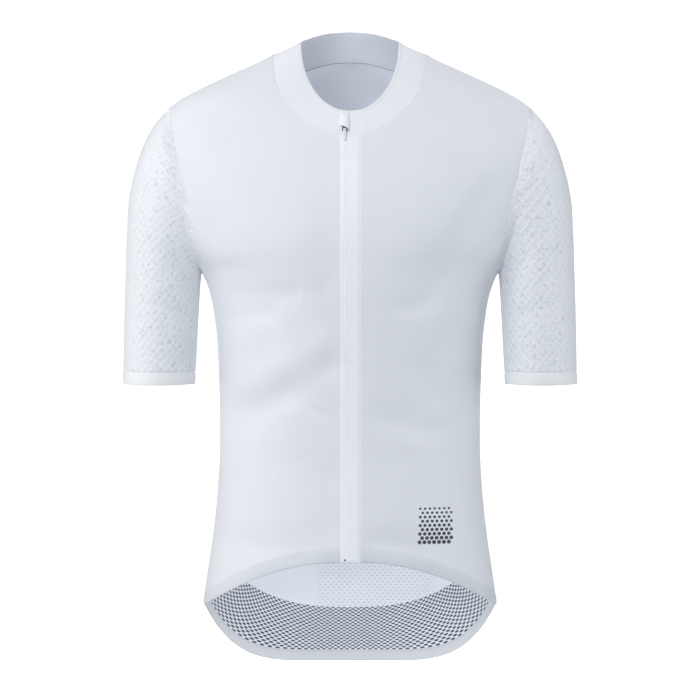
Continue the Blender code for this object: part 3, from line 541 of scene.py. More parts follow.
@dataclass(frozen=True)
class SeamLines:
    """Where the jersey's pieces meet, as places on the body."""

    form: BodyForm = BodyForm()
    underarm_drop: float = 239.3
    shoulder_tip_drop: float = 58.0
    front_neck_drop: float = 96.2
    neck_half_width: float = 84.7
    front_hem_drop: float = 551.7
    side_hem_drop: float = 603.6
    tail_hem_drop: float = 675.9
    front_hem_power: float = 2.3
    tail_hem_power: float = 5.0
    front_band: float = 13.0
    back_band: float = 12.0
    pocket_seam_drop: float = 615.9
    pocket_seam_rise: float = 68.0
    pocket_seam_power: float = 2.6
    back_armhole_ease: float = 4.0
    zip_half_width: float = 11.3
    top_fade: float = 12.0
    underarm_crowding: float = 1.25

    def armhole(self, angle: Array, is_back: bool) -> Array:
        """Places of the armhole seam.

        Args:
            angle: degrees, from the shoulder tip (0) to the underarm (180).
            is_back: whether it is the back's half of the seam.

        Returns:
            The places; the drop follows the cosine of the angle and the reach the table.
        """
        middle = (self.underarm_drop + self.shoulder_tip_drop) / 2
        half = (self.underarm_drop - self.shoulder_tip_drop) / 2
        angle = np.radians(np.asarray(angle, float))
        drop = middle - half * np.cos(angle)
        ease = self.back_armhole_ease * np.sin(angle) if is_back else 0
        reach = looked_up(ARMHOLE, drop) + ease
        share = np.where(np.sin(angle) < SMALL, 1.0, self.form.share_at(reach, drop))
        return places(2 - share if is_back else share, drop)

    def neckline(self, angle: Array) -> Array:
        """Places of the collar's seam on the left half.

        Args:
            angle: degrees, from the front (0) to the back (180).

        Returns:
            The places; the drop follows the tables and the reach the sine of the angle.
        """
        angle = np.asarray(angle, float)
        drop = np.where(angle <= 90, looked_up(FRONT_NECK, angle), looked_up(BACK_NECK, angle))
        share = self.form.share_at(self.neck_half_width * np.sin(np.radians(angle)), drop)
        share = np.where(np.abs(angle - 90) < SMALL, 1.0, share)
        return places(np.where(angle <= 90, share, 2 - share), drop)

    def neck_start(self) -> float:
        """The angle at which the neckline meets the zip's band."""
        return math.degrees(math.asin(self.zip_half_width / self.neck_half_width))

    def side_edge(self, bottom_drop: float, steps: tuple[int, int, int], is_back: bool) -> Array:
        """Places up a panel's outer edge: the side seam, the armhole and the shoulder seam.

        Args:
            bottom_drop: where the side seam starts.
            steps: how many steps each of the three takes.
            is_back: whether it is the back's edge.

        Returns:
            The places, from the bottom up.
        """
        side, around, above = steps
        share = np.linspace(0, 1, side + 1) ** self.underarm_crowding
        seam = places(1, bottom_drop + (self.underarm_drop - bottom_drop) * share)
        arm = self.armhole(np.linspace(180, 0, around + 1), is_back)
        shoulder = places(1, np.linspace(self.shoulder_tip_drop, 0, above + 1))
        return np.concatenate([seam, arm[1:], shoulder[1:]])

    def across_at_hem(self, share: Array) -> Array:
        """How far across a place at the hem is, as a share of the half width."""
        return self.form.arc(share, self.form.size(self.side_hem_drop, "fullness"))[0]

    def front_hem(self, share: Array) -> Array:
        """Drop of the front's lower edge."""
        rise = self.side_hem_drop - self.front_hem_drop
        return self.front_hem_drop + rise * self.across_at_hem(share) ** self.front_hem_power

    def tail_hem(self, share: Array) -> Array:
        """Drop of the tail's lower edge."""
        fall = self.tail_hem_drop - self.side_hem_drop
        return self.tail_hem_drop - fall * self.across_at_hem(share) ** self.tail_hem_power

    def pocket_seam(self, share: Array) -> Array:
        """Drop of the curved seam under the pockets."""
        across = self.across_at_hem(share)
        return self.pocket_seam_drop - self.pocket_seam_rise * across**self.pocket_seam_power

    def travelled(self, edge: Array) -> Array:
        """Share of an edge's own length at each of its places."""
        run = travel(self.form.points(edge))
        return run / run[-1]

    def seen_flat(self, place: Array) -> Array:
        """Places of the left half as they are seen straight on.

        Args:
            place: an array of (turn, drop).

        Returns:
            An array of (x, drop), creases aside.
        """
        turn, drop = place[..., 0], place[..., 1]
        share = np.where(turn <= 1, turn, 2 - turn)
        across = self.form.arc(share, self.form.size(drop, "fullness"))[0]
        return stacked(self.form.size(drop, "half_width") * across, drop)

    def between(self, bottom: Array, top: Array, left: Array, right: Array, is_back: bool) -> Array:
        """A grid of places spanned by four edges, as they are seen straight on.

        Each row first runs straight from the left edge to the right one. Then the rows are shifted
        so that the lowest is the bottom edge and the highest the top one.

        Args:
            bottom: places of the bottom edge, from left to right.
            top: places of the top edge, as many.
            left: places of the left edge, from the bottom up.
            right: places of the right edge, as many.
            is_back: whether the grid is on the back.

        Returns:
            The grid of places.
        """
        low, high, near, far = (self.seen_flat(edge) for edge in (bottom, top, left, right))
        across = ((low[:, 0] - low[0, 0]) / (low[-1, 0] - low[0, 0]))[:, None, None]
        up = ((self.travelled(left) + self.travelled(right)) / 2)[None, :, None]
        rows = (1 - across) * near[None] + across * far[None]
        seen = rows + (1 - up) * (low[:, None] - rows[:, :1])
        seen = seen + up**self.top_fade * (high[:, None] - rows[:, -1:])
        share = self.form.share_at(seen[..., 0], seen[..., 1])
        grid = places(2 - share if is_back else share, seen[..., 1])
        grid[:, 0], grid[:, -1], grid[0], grid[-1] = bottom, top, left, right
        return grid

    def respaced(self, grid: Array, near: Sequence[float], far: Sequence[float],
                 count: int) -> Array:
        """The same rows with their columns at chosen distances from both ends.

        A column's distance along its row is a fixed one near an end, and a fixed share between.

        Args:
            grid: a dense grid of places.
            near: distances of the first columns from the left end.
            far: distances of the last columns from the right end, rising.
            count: how many equal steps lie between.

        Returns:
            The grid with fewer columns.
        """
        near = np.array([0, *near], float)
        far = np.array([0, *far], float)[::-1]
        share = np.linspace(0, 1, count + 1)[1:-1]
        fixed = np.concatenate([near, near[-1] * (1 - share) - far[0] * share, -far])
        part = np.concatenate([np.zeros(len(near)), share, np.ones(len(far))])
        run = travel(self.form.points(grid))
        wanted = fixed[:, None] + part[:, None] * run[-1][None]
        room = 4 * run.max() * np.arange(grid.shape[1])
        rows = np.moveaxis(grid, 1, 0).reshape(-1, 2)
        made = read_off((wanted + room).T.reshape(-1), (run + room).T.reshape(-1), rows)
        return np.moveaxis(made.reshape(grid.shape[1], -1, 2), 1, 0).copy()

    def chain_x(self, drop: Array | float) -> Array:
        """Where the zip's chain runs across the front."""
        return looked_up(ZIP_DRIFT, drop)


@dataclass(frozen=True)
class SleeveForm:
    """The left sleeve: rings from the armhole to the cuff's edge.

    A ring is an ellipse about the middle of its outer and inner points. Angles are 0 outside, 90
    behind, 180 underneath and 270 in front. The share runs from the armhole (0) to the edge (1).
    """

    lines: SeamLines = SeamLines()
    cuff_bow: float = 1.5
    steps: tuple[float, float] = (0.5, -0.002)
    degree_mm: float = 0.9

    def points(self, angle: Array, share: Array) -> Array:
        """Points of the sleeve.

        Args:
            angle: the columns' angles.
            share: the rows' shares.

        Returns:
            The grid of points.
        """
        angle = np.mod(np.asarray(angle, float), 360)
        turned = np.radians(angle)
        seams = [self.lines.armhole(folded(angle), is_back) for is_back in (True, False)]
        halves = [self.lines.form.points(seam) for seam in seams]
        rings = [np.where((angle <= 180)[:, None], *halves)]
        for ring in SLEEVE_RINGS:
            outer = np.array([ring.outer_x, ring.centre_y, -ring.outer_drop])
            inner = np.array([ring.inner_x, ring.centre_y, -ring.inner_drop])
            points = (outer + inner) / 2 + np.cos(turned)[:, None] * (outer - inner) / 2
            points[:, 1] += ring.half_depth * np.sin(turned)
            rings.append(points)
        for ring in rings[-2:]:
            ring[:, 2] -= self.cuff_bow * np.sin(turned) ** 2
        return np.moveaxis(smooth(self.run(), np.array(rings), np.asarray(share, float)), 0, 1)

    def run(self) -> Array:
        """Where the rings lie along the sleeve, measured down its middle.

        Returns:
            Each ring's share of the length, from the armhole on.
        """
        middles = [(180.0, (self.lines.underarm_drop + self.lines.shoulder_tip_drop) / 2)]
        for ring in SLEEVE_RINGS:
            middle_drop = (ring.outer_drop + ring.inner_drop) / 2
            middles.append(((ring.outer_x + ring.inner_x) / 2, middle_drop))
        run = travel(np.array(middles))
        return run / run[-1]

    def normals(self, angle: Array, share: Array) -> Array:
        """Outward unit normals of the sleeve at a grid of angles and shares."""
        return surface_normals(self.points, angle, share, self.steps)

    def dressed(self, angle: Array, share: Array) -> Array:
        """Points of the sleeve's cloth, with its creases, which lie by angle and drop.

        Args:
            angle: the columns' angles.
            share: the rows' shares.

        Returns:
            The grid of points.
        """
        points = self.points(angle, share)
        scale = self.degree_mm
        own = [
            row._replace(start_x=row.start_x * scale, end_x=row.end_x * scale)
            for row in SLEEVE_CREASES
        ]
        across = np.broadcast_to(np.mod(angle, 360)[:, None] * scale, points.shape[:2])
        lift = crease_height(own, across, -points[..., 2], True)
        return points + self.normals(angle, share) * lift[..., None]


@dataclass(frozen=True)
class CollarForm:
    """The collar: a band between the neckline's loop and its own top loop.

    Angles are 0 at the front, 180 behind and up to 360, and heights 0 at the seam and 1 at the top.
    """

    lines: SeamLines = SeamLines()
    half_width: float = 54.1
    half_depth: float = 59.0
    centre_y: float = -11.0
    bow: float = 0.8
    steps: tuple[float, float] = (0.5, 0.004)
    seam_blend: float = 0.25

    def points(self, angle: Array, height: Array) -> Array:
        """Points of the collar: straight from seam to top at each angle, with a slight bow.

        Args:
            angle: angles of the points.
            height: their heights.

        Returns:
            The points, with the shape of the two arrays together.
        """
        angle, height = np.broadcast_arrays(np.asarray(angle, float), np.asarray(height, float))
        turned = np.radians(folded(angle))
        base = self.lines.form.points(self.lines.neckline(folded(angle)))
        top = stacked(
            self.half_width * np.sin(turned), self.centre_y - self.half_depth * np.cos(turned),
            -looked_up(COLLAR_TOP, folded(angle)),
        )
        share = height[..., None]
        points = (1 - share) * base + share * top
        swell = 4 * self.bow * height * (1 - height)
        points[..., 0] += swell * np.sin(turned)
        points[..., 1] -= swell * np.cos(turned)
        points[..., 0] *= np.where(angle <= 180, 1, -1)
        return points

    def normals(self, angle: Array, height: Array) -> Array:
        """Outward unit normals; near the seam they turn into the body's.

        Args:
            angle: angles of the points.
            height: their heights.

        Returns:
            The normals, one for each point.
        """
        angle, height = np.broadcast_arrays(np.asarray(angle, float), np.asarray(height, float))
        own = surface_normals(self.points, angle, height, self.steps)
        at_seam = self.lines.form.normals(self.lines.neckline(folded(angle)))
        at_seam[..., 0] *= np.where(angle <= 180, 1, -1)
        weight = (1 - eased(height, 0, self.seam_blend))[..., None]
        return unit(own * (1 - weight) + at_seam * weight)

    def angle_off(self, x: Array | float, height: Array) -> Array:
        """Degrees from the centre front at which the collar is this far across."""
        half_width = (1 - height) * self.lines.neck_half_width + height * self.half_width
        return np.degrees(np.arcsin(x / half_width))

    def angle_of(self, x: Array, height: Array) -> Array:
        """Angles of the collar's front at an x, whichever side of the middle."""
        angle = self.angle_off(np.abs(x), height)
        return np.where(x >= 0, angle, 360 - angle)


class EdgeDistances(NamedTuple):
    """How far each point of a grid is from its four edges, along its rows and columns."""

    left: Array
    right: Array
    bottom: Array
    top: Array

    @classmethod
    def of(cls, points: Array) -> "EdgeDistances":
        """Measures a grid."""
        across, upward = travel(points), climb(points)
        return cls(across, across[-1:] - across, upward, upward[:, -1:] - upward)


@dataclass
class ClothGrid:
    """A piece of cloth: outer points, normals, flat coordinates and masks.

    On a ring the last column joins the first, and the flat coordinates have one column more.
    """

    outer: Array
    normals: Array
    flat: Array
    masks: dict[str, Array] = field(default_factory=dict)
    is_ring: bool = False

    def border(self) -> Array:
        """The edges round the border, with the cloth always on their left, seen from outside.

        Returns:
            Column and row of each edge's start and of its end, as [start or end, axis, edge].
        """
        columns, rows = self.outer.shape[:2]
        here = np.arange(columns if self.is_ring else columns - 1)
        low, high = np.zeros_like(here), np.full_like(here, rows - 1)
        edges = [[(here, low), (here + 1, low)], [(here + 1, high), (here, high)]]
        if not self.is_ring:
            down = np.arange(rows - 1)
            near, far = np.zeros_like(down), np.full_like(down, columns - 1)
            edges += [[(far, down), (far, down + 1)], [(near, down + 1), (near, down)]]
        return np.concatenate([np.array(edge) for edge in edges], axis=-1)

    @staticmethod
    def quads(rows: Array, first: Array, second: Array) -> Array:
        """The four corners of each square of a grid between its first and second columns."""
        corners = [rows[first, :-1], rows[second, :-1], rows[second, 1:], rows[first, 1:]]
        return np.stack(corners, axis=2).reshape(-1, 4, *rows.shape[2:])

    def mesh(self, name: str, thickness: float, bulge: float = 0.4,
             inner_step: int = 1) -> bpy.types.Mesh:
        """A closed shell: the grid, its twin a thickness inward, and a rounded rim between them.

        The rim's middle row is halfway between the two and a share of the thickness further out.

        Args:
            name: the mesh's name.
            thickness: the cloth's thickness.
            bulge: how far the rim stands out, as a share of the thickness.
            inner_step: how many outer rows one inner row takes; only a ring may have more than 1.

        Returns:
            The mesh, with its flat map and masks; inner faces have material index 1.
        """
        columns, rows = self.outer.shape[:2]
        kept = np.unique(np.append(np.arange(0, rows, inner_step), rows - 1))
        inner = (self.outer - self.normals * thickness)[:, kept]
        outer_index = np.arange(columns * rows).reshape(columns, rows)
        inner_index = columns * rows + np.arange(columns * len(kept)).reshape(columns, len(kept))
        (start_flat, start_row), (end_flat, end_row) = self.border()
        start, end = (start_flat % columns, start_row), (end_flat % columns, end_row)
        tangent = np.zeros_like(self.outer)
        np.add.at(tangent, start, self.outer[end] - self.outer[start])
        np.add.at(tangent, end, self.outer[end] - self.outer[start])
        on_border = np.zeros((columns, rows), bool)
        on_border[start] = True
        away = unit(np.cross(tangent[on_border], self.normals[on_border]))
        rim = self.outer[on_border] + (away * bulge - self.normals[on_border] / 2) * thickness
        rim_index = np.full((columns, rows), -1)
        rim_index[on_border] = columns * rows + inner_index.size + np.arange(len(rim))
        kept_row = np.searchsorted(kept, np.arange(rows))

        here = np.arange(columns if self.is_ring else columns - 1)
        next_one = here + 1
        faces = [
            self.quads(outer_index, here, next_one % columns),
            self.quads(inner_index, next_one % columns, here),
        ]
        flats = [
            self.quads(self.flat, here, next_one),
            self.quads(self.flat[:, kept], next_one, here),
        ]
        start_inner, end_inner = (
            inner_index[column, kept_row[row]] for column, row in (start, end)
        )
        for corners in (
            (outer_index[start], rim_index[start], rim_index[end], outer_index[end]),
            (rim_index[start], start_inner, end_inner, rim_index[end]),
        ):
            faces.append(np.stack(corners, axis=-1))
            charts = [self.flat[start_flat, start_row]] * 2 + [self.flat[end_flat, end_row]] * 2
            flats.append(np.stack(charts, axis=-2))
        corners = np.concatenate([self.outer.reshape(-1, 3), inner.reshape(-1, 3), rim])
        mesh = made_mesh(name, corners, np.concatenate(faces), np.concatenate(flats))
        slots = np.repeat([0, 1, 0], [len(faces[0]), len(faces[1]), 2 * len(faces[2])])
        mesh.polygons.foreach_set("material_index", slots.astype(np.int32))
        for mask, values in self.masks.items():
            kept_values = [values.reshape(-1), values[:, kept].reshape(-1), values[on_border]]
            layer = mesh.attributes.new(mask, "FLOAT", "POINT")
            layer.data.foreach_set("value", np.concatenate(kept_values).astype(np.float32))
        return mesh


def made_mesh(name: str, corners: Array, faces: Array, flat: Array | None = None) -> bpy.types.Mesh:
    """A smooth mesh from arrays, with sharp edges where its faces turn steeply.

    Args:
        name: the mesh's name.
        corners: the points in millimetres.
        faces: the faces, as rows of corner numbers; -1 leaves a place empty.
        flat: flat coordinates for each corner of each face, or nothing.

    Returns:
        The mesh, in metres.
    """
    mesh = bpy.data.meshes.new(name)
    rows = [[corner for corner in face if corner >= 0] for face in faces.tolist()]
    mesh.from_pydata((corners * MM).tolist(), [], rows)
    if flat is not None:
        layer = mesh.uv_layers.new(name=FLAT_MAP)
        layer.data.foreach_set("uv", flat.reshape(-1).astype(np.float32))
    mesh.shade_smooth()
    mesh.set_sharp_from_angle(angle=math.radians(SHARP_DEGREES))
    return mesh


def ring_faces(count: int, sides: int, is_loop: bool) -> Array:
    """Faces between neighbouring closed rings, with flat ends unless the rings make a loop.

    Args:
        count: how many rings.
        sides: points of each ring, which turn clockwise seen from the first ring to the last.
        is_loop: whether the last ring joins the first.

    Returns:
        The faces as rows of corner numbers, filled up with -1.
    """
    here = np.arange(count if is_loop else count - 1)[:, None]
    after = (here + 1) % count
    side = np.arange(sides)
    turned = (side + 1) % sides
    faces = np.full((len(here) * sides, sides), -1)
    faces[:, :4] = stacked(
        here * sides + side, here * sides + turned, after * sides + turned, after * sides + side
    ).reshape(-1, 4)
    caps = [side[::-1], (count - 1) * sides + side]
    return faces if is_loop else np.concatenate([faces, caps])


def repeated(faces: Array, count: int, corners: int) -> Array:
    """The same faces for each of a count of like shapes that have so many corners each."""
    moved = faces + corners * np.arange(count)[:, None, None]
    return np.where(faces >= 0, moved, -1).reshape(-1, faces.shape[1])


def tube(path: Array, normals: Array, half_width: float, half_height: float, is_loop: bool,
         sides: int = 10) -> Shape:
    """A flattened tube along a path: an ellipse across each point, its short axis on the normal.

    Args:
        path: the points that it follows.
        normals: the cloth's normals there.
        half_width: the ellipse's half axis on the cloth.
        half_height: its half axis away from the cloth.
        is_loop: whether the last point joins the first; otherwise the ends are closed flat.
        sides: points round the ellipse.

    Returns:
        Its corners and faces.
    """
    both_ways = np.roll(path, -1, axis=0) - np.roll(path, 1, axis=0)
    along = unit(both_ways if is_loop else np.gradient(path, axis=0))
    aside = unit(np.cross(normals, along))
    turned = circle(sides)[None, :, None]
    rings = path[:, None] + np.cos(turned) * half_width * aside[:, None]
    rings = rings + np.sin(turned) * half_height * normals[:, None]
    return rings.reshape(-1, 3), ring_faces(len(path), sides, is_loop)


def lofted(rings: Array, is_loop: bool) -> Shape:
    """Corners and faces of a row of closed rings that turn the other way than a tube's."""
    return rings.reshape(-1, 3), ring_faces(*rings.shape[:2], is_loop)[:, ::-1]


def stitches(path: Array, normals: Array, pitch: float, length: float, half_width: float,
             half_height: float) -> Shape:
    """A row of stitches: small spindles of 12 faces each, evenly spaced along a path.

    Args:
        path: the points that the row follows.
        normals: the cloth's normals there.
        pitch: distance from stitch to stitch.
        length: a stitch's length.
        half_width: its half width on the cloth.
        half_height: its half height away from the cloth.

    Returns:
        Their corners and faces.
    """
    run = travel(path)
    centres = np.arange(pitch / 2, run[-1], pitch)
    start, end = (read_off(centres + half, run, path) for half in (-length / 2, length / 2))
    up = unit(read_off(centres, run, normals))
    aside = unit(np.cross(up, unit(end - start)))
    turned = np.radians([0, 90, 180, 270])[None, :, None]
    ring = np.cos(turned) * half_width * aside[:, None] + np.sin(turned) * half_height * up[:, None]
    rings = [(start * (1 - share) + end * share)[:, None] + ring for share in (0.28, 0.72)]
    corners = np.concatenate([start[:, None], *rings, end[:, None]], axis=1)
    side = np.arange(4)
    after = (side + 1) % 4
    one = np.concatenate(
        [stacked(0, 1 + after, 1 + side, -1), stacked(1 + side, 1 + after, 5 + after, 5 + side),
         stacked(9, 5 + side, 5 + after, -1)]
    )
    return corners.reshape(-1, 3), repeated(one, len(centres), corners.shape[1])


def joined(parts: Sequence[Shape]) -> Shape:
    """Several shapes as one.

    Args:
        parts: the corners and faces of each.

    Returns:
        The corners and faces of all.
    """
    widest = max(faces.shape[1] for _, faces in parts)
    corners, all_faces, start = [], [], 0
    for points, faces in parts:
        wide = np.full((len(faces), widest), -1)
        wide[:, : faces.shape[1]] = np.where(faces >= 0, faces + start, -1)
        corners.append(points)
        all_faces.append(wide)
        start += len(points)
    return np.concatenate(corners), np.concatenate(all_faces)


class Val:
    """A number in a material's node tree; Python's operators on it add Math nodes."""

    def __init__(self, bench: "Bench", socket: bpy.types.NodeSocket) -> None:
        """Wraps the socket that gives the number."""
        self.bench, self.socket = bench, socket

    def math(self, operation: str, *others: "Val | float") -> "Val":
        """A Math node on this number and others."""
        return self.bench.math(operation, self, *others)

    def __add__(self, other: "Val | float") -> "Val":
        """The sum."""
        return self.math("ADD", other)

    __radd__ = __add__

    def __mul__(self, other: "Val | float") -> "Val":
        """The product."""
        return self.math("MULTIPLY", other)

    __rmul__ = __mul__

    def __sub__(self, other: "Val | float") -> "Val":
        """The difference."""
        return self.math("SUBTRACT", other)

    def __rsub__(self, other: float) -> "Val":
        """A number less this one."""
        return self.bench.math("SUBTRACT", other, self)

    def __truediv__(self, other: "Val | float") -> "Val":
        """The quotient."""
        return self.math("DIVIDE", other)

    def __rtruediv__(self, other: float) -> "Val":
        """A number divided by this one."""
        return self.bench.math("DIVIDE", other, self)

    def __pow__(self, power: float) -> "Val":
        """The power."""
        return self.math("POWER", power)

    def wave(self) -> "Val":
        """A cosine of one turn for each unit, brought to 0 to 1."""
        return (self * (2 * math.pi)).math("COSINE") * 0.5 + 0.5

    def stepped(self, low: float, high: float) -> "Val":
        """A smooth step from 0 to 1.

        Args:
            low: where it starts.
            high: where it ends.

        Returns:
            The step.
        """
        sockets = {"Value": self, "From Min": low, "From Max": high}
        made = self.bench.node("ShaderNodeMapRange", {"interpolation_type": "SMOOTHSTEP"}, sockets)
        return Val(self.bench, made.outputs[0])


class Bench:
    """The node tree of one material while it is made."""

    def __init__(self, name: str) -> None:
        """Starts an empty material.

        Args:
            name: its name.
        """
        self.material = bpy.data.materials.new(name)
        self.material.use_nodes = True
        self.tree = self.material.node_tree
        self.tree.nodes.clear()

    def node(self, kind: str, settings: dict[str, object] | None = None,
             sockets: dict[str | int, object] | None = None) -> bpy.types.Node:
        """Adds a node.

        Args:
            kind: the node's type.
            settings: its own settings, set first.
            sockets: values or links of its input sockets, by name or number.

        Returns:
            The node.
        """
        made = self.tree.nodes.new(kind)
        for key, value in (settings or {}).items():
            setattr(made, key, value)
        for key, value in (sockets or {}).items():
            if isinstance(value, (Val, bpy.types.NodeSocket)):
                self.tree.links.new(getattr(value, "socket", value), made.inputs[key])
            else:
                made.inputs[key].default_value = value
        return made

    def math(self, operation: str, *values: Val | float) -> Val:
        """A Math node on numbers."""
        made = self.node("ShaderNodeMath", {"operation": operation}, dict(enumerate(values)))
        return Val(self, made.outputs[0])

    def mask(self, name: str) -> Val:
        """A mask stored on the mesh."""
        return Val(self, self.node("ShaderNodeAttribute", {"attribute_name": name}).outputs["Fac"])

    def noise(self, pitch_mm: float, detail: float = 2.0) -> Val:
        """Soft noise on the object's own coordinates, about 0.5.

        Args:
            pitch_mm: the size of its patches.
            detail: how many finer layers it has.

        Returns:
            The noise.
        """
        where = self.node("ShaderNodeTexCoord").outputs["Object"]
        sockets = {"Vector": where, "Scale": 1 / (pitch_mm * MM), "Detail": detail}
        return Val(self, self.node("ShaderNodeTexNoise", None, sockets).outputs[0])

    def mixed(self, share: Val, first: object, second: object) -> bpy.types.NodeSocket:
        """A colour between two, each a colour or a link."""
        sockets = {0: share, 6: as_rgba(first), 7: as_rgba(second)}
        return self.node("ShaderNodeMix", {"data_type": "RGBA"}, sockets).outputs[2]

    def finish(self, shader: dict[str, object], height_mm: Val | None = None) -> bpy.types.Material:
        """Ends the tree in one Principled shader.

        Args:
            shader: values or links of the shader's sockets.
            height_mm: the surface's relief in millimetres, or nothing.

        Returns:
            The material.
        """
        if height_mm is not None:
            relief = {"Strength": 1.0, "Distance": MM, "Height": height_mm}
            shader = shader | {"Normal": self.node("ShaderNodeBump", None, relief).outputs[0]}
        principled = self.node("ShaderNodeBsdfPrincipled", None, shader)
        self.node("ShaderNodeOutputMaterial", None, {"Surface": principled.outputs[0]})
        return self.material


class ClothBench(Bench):
    """The node tree of a cloth, with its flat coordinates in millimetres: u across and v along."""

    def __init__(self, name: str) -> None:
        """Starts the material and reads the flat map.

        Args:
            name: the material's name.
        """
        super().__init__(name)
        chart = self.node("ShaderNodeUVMap", {"uv_map": FLAT_MAP})
        split = self.node("ShaderNodeSeparateXYZ", None, {0: chart.outputs[0]})
        self.u, self.v = (Val(self, split.outputs[axis]) for axis in (0, 1))


def as_rgba(value: object) -> object:
    """A colour of three numbers with its fourth added; a link stays as it is."""
    return (*value, 1.0) if isinstance(value, tuple) else value


def darker(colour: Colour, share: float) -> Colour:
    """A colour with each part taken down to a share."""
    return tuple(part * share for part in colour)


@dataclass(frozen=True)
class ClothFinish:
    """A cloth with its threads' relief, a soft sheen and a slight unevenness of tone.

    Its glow is painted light: an emission that stands for the light that thin cloth lets through,
    and brightens its shaded insides.
    """

    name: str
    colour: Colour
    weave: Weave = Weave.KNIT
    across_mm: float = 0.9
    along_mm: float = 0.75
    relief_mm: float = 0.05
    drape_mm: float = 0.16
    drape_pitch_mm: float = 26.0
    groove_shade: float = 0.93
    mottle_tone: float = 0.987
    roughness: float = 0.86
    sheen: float = 0.9
    glow: float = 0.0
    glow_mask: str = ""
    far_glow: float = 0.3

    def threads(self, u: Val, v: Val) -> Val:
        """The threads' height from 0 to 1, by the weave.

        A knit's wales are cosines across and its loops cosines along, which lean up and down by
        turns. A rib has wales alone, and a twill has one slanting cosine.

        Args:
            u: flat coordinate across.
            v: flat coordinate along.

        Returns:
            The height.
        """
        across, along = u / self.across_mm, v / self.along_mm
        if self.weave is Weave.RIB:
            return across.wave() * 0.8 + along.wave() * 0.2
        if self.weave is Weave.TWILL:
            return (across + along).wave()
        return (across + 0.5).wave() * 0.5 + (along + across.wave() * 0.5).wave() * 0.5

    def dress(self, bench: ClothBench, threads: Val) -> tuple[object, Val]:
        """The cloth's colour and its relief; the grooves between the threads are painted darker, as
        their shade.

        Args:
            bench: the material's tree.
            threads: the threads' height.

        Returns:
            A link of the colour, and the relief in millimetres.
        """
        # Painted shade: the grooves between the threads are darker.
        low = darker(self.colour, self.groove_shade)
        cloth = bench.mixed(threads, low, self.colour)
        low_faded, high_faded = (darker(tone, self.mottle_tone) for tone in (low, self.colour))
        faded = bench.mixed(threads, low_faded, high_faded)
        colour = bench.mixed(bench.noise(45.0).stepped(0.35, 0.65), faded, cloth)
        relief = threads * self.relief_mm
        return colour, relief + bench.noise(self.drape_pitch_mm, 1.0) * self.drape_mm

    def make(self) -> bpy.types.Material:
        """Makes the finish: the dressed cloth with its sheen and its glow, which is painted light.

        Returns:
            The material.
        """
        bench = ClothBench(self.name)
        threads = self.threads(bench.u, bench.v)
        colour, relief = self.dress(bench, threads)
        shader = {
            "Base Color": colour,
            "Roughness": threads * -0.08 + bench.noise(9.0) * 0.06 + self.roughness,
            "Sheen Weight": self.sheen,
            "Sheen Roughness": 0.5,
            "Specular IOR Level": 0.25,
            "Emission Strength": self.glow,
        }
        # The glow is painted light; with a glow mask it is full where the mask is high and taken
        # down to a share elsewhere.
        if self.glow:
            if self.glow_mask:
                far = darker(self.colour, self.far_glow)
                colour = bench.mixed(bench.mask(self.glow_mask), far, colour)
            shader["Emission Color"] = colour
        return bench.finish(shader, relief)


class HoleGrid(NamedTuple):
    """Rows of long holes or dashes, every other row moved by half a step."""

    step: float
    row: float
    half_length: float
    half_height: float

    def of(self, u: Val, v: Val) -> Val:
        """1 in a hole and 0 outside, soft at its elliptic edge.

        Args:
            u: flat coordinate along the rows.
            v: flat coordinate across them.

        Returns:
            The mask.
        """
        row = v / self.row
        moved = row.math("FLOOR").math("MODULO", 2.0) * 0.5
        across = ((u / self.step + moved).math("FRACT") - 0.5) * (self.step / self.half_length)
        upward = (row.math("FRACT") - 0.5) * (self.row / self.half_height)
        return 1.0 - (across * across + upward * upward).stepped(0.7, 1.25)


@dataclass(frozen=True)
class HoledFinish(ClothFinish):
    """A cloth with rows of holes, painted on as dark spots of shade between pale threads."""

    holes: HoleGrid = HoleGrid(6.5, 1.87, 1.95, 0.76)
    hole_shade_colour: Colour = (0.07, 0.08, 0.135)
    knot_and_glint_colour: Colour = (0.97, 0.98, 1.0)
    knot_half_length: float = 1.35
    sink_mm: float = 0.25
    mask: str = ""

    def dress(self, bench: ClothBench, threads: Val) -> tuple[object, Val]:
        """The plain cloth's colour and relief, with pale knots and then the holes, painted in the
        colour of the shade seen through them, laid over both.

        A knot lies half a step from each hole of its row, so it is the same grid moved along.

        Args:
            bench: the material's tree.
            threads: the threads' height.

        Returns:
            A link of the colour, and the relief in millimetres.
        """
        colour, relief = super().dress(bench, threads)
        hole = self.holes.of(bench.u, bench.v)
        knots = self.holes._replace(half_length=self.knot_half_length)
        knot_and_glint = knots.of(bench.u + self.holes.step / 2, bench.v)
        if self.mask:
            hole, knot_and_glint = hole * bench.mask(self.mask), knot_and_glint * bench.mask(self.mask)
        colour = bench.mixed(knot_and_glint, colour, self.knot_and_glint_colour)
        # The holes' colour is painted shade: the dark seen through a hole.
        return bench.mixed(hole, colour, self.hole_shade_colour), relief - hole * self.sink_mm


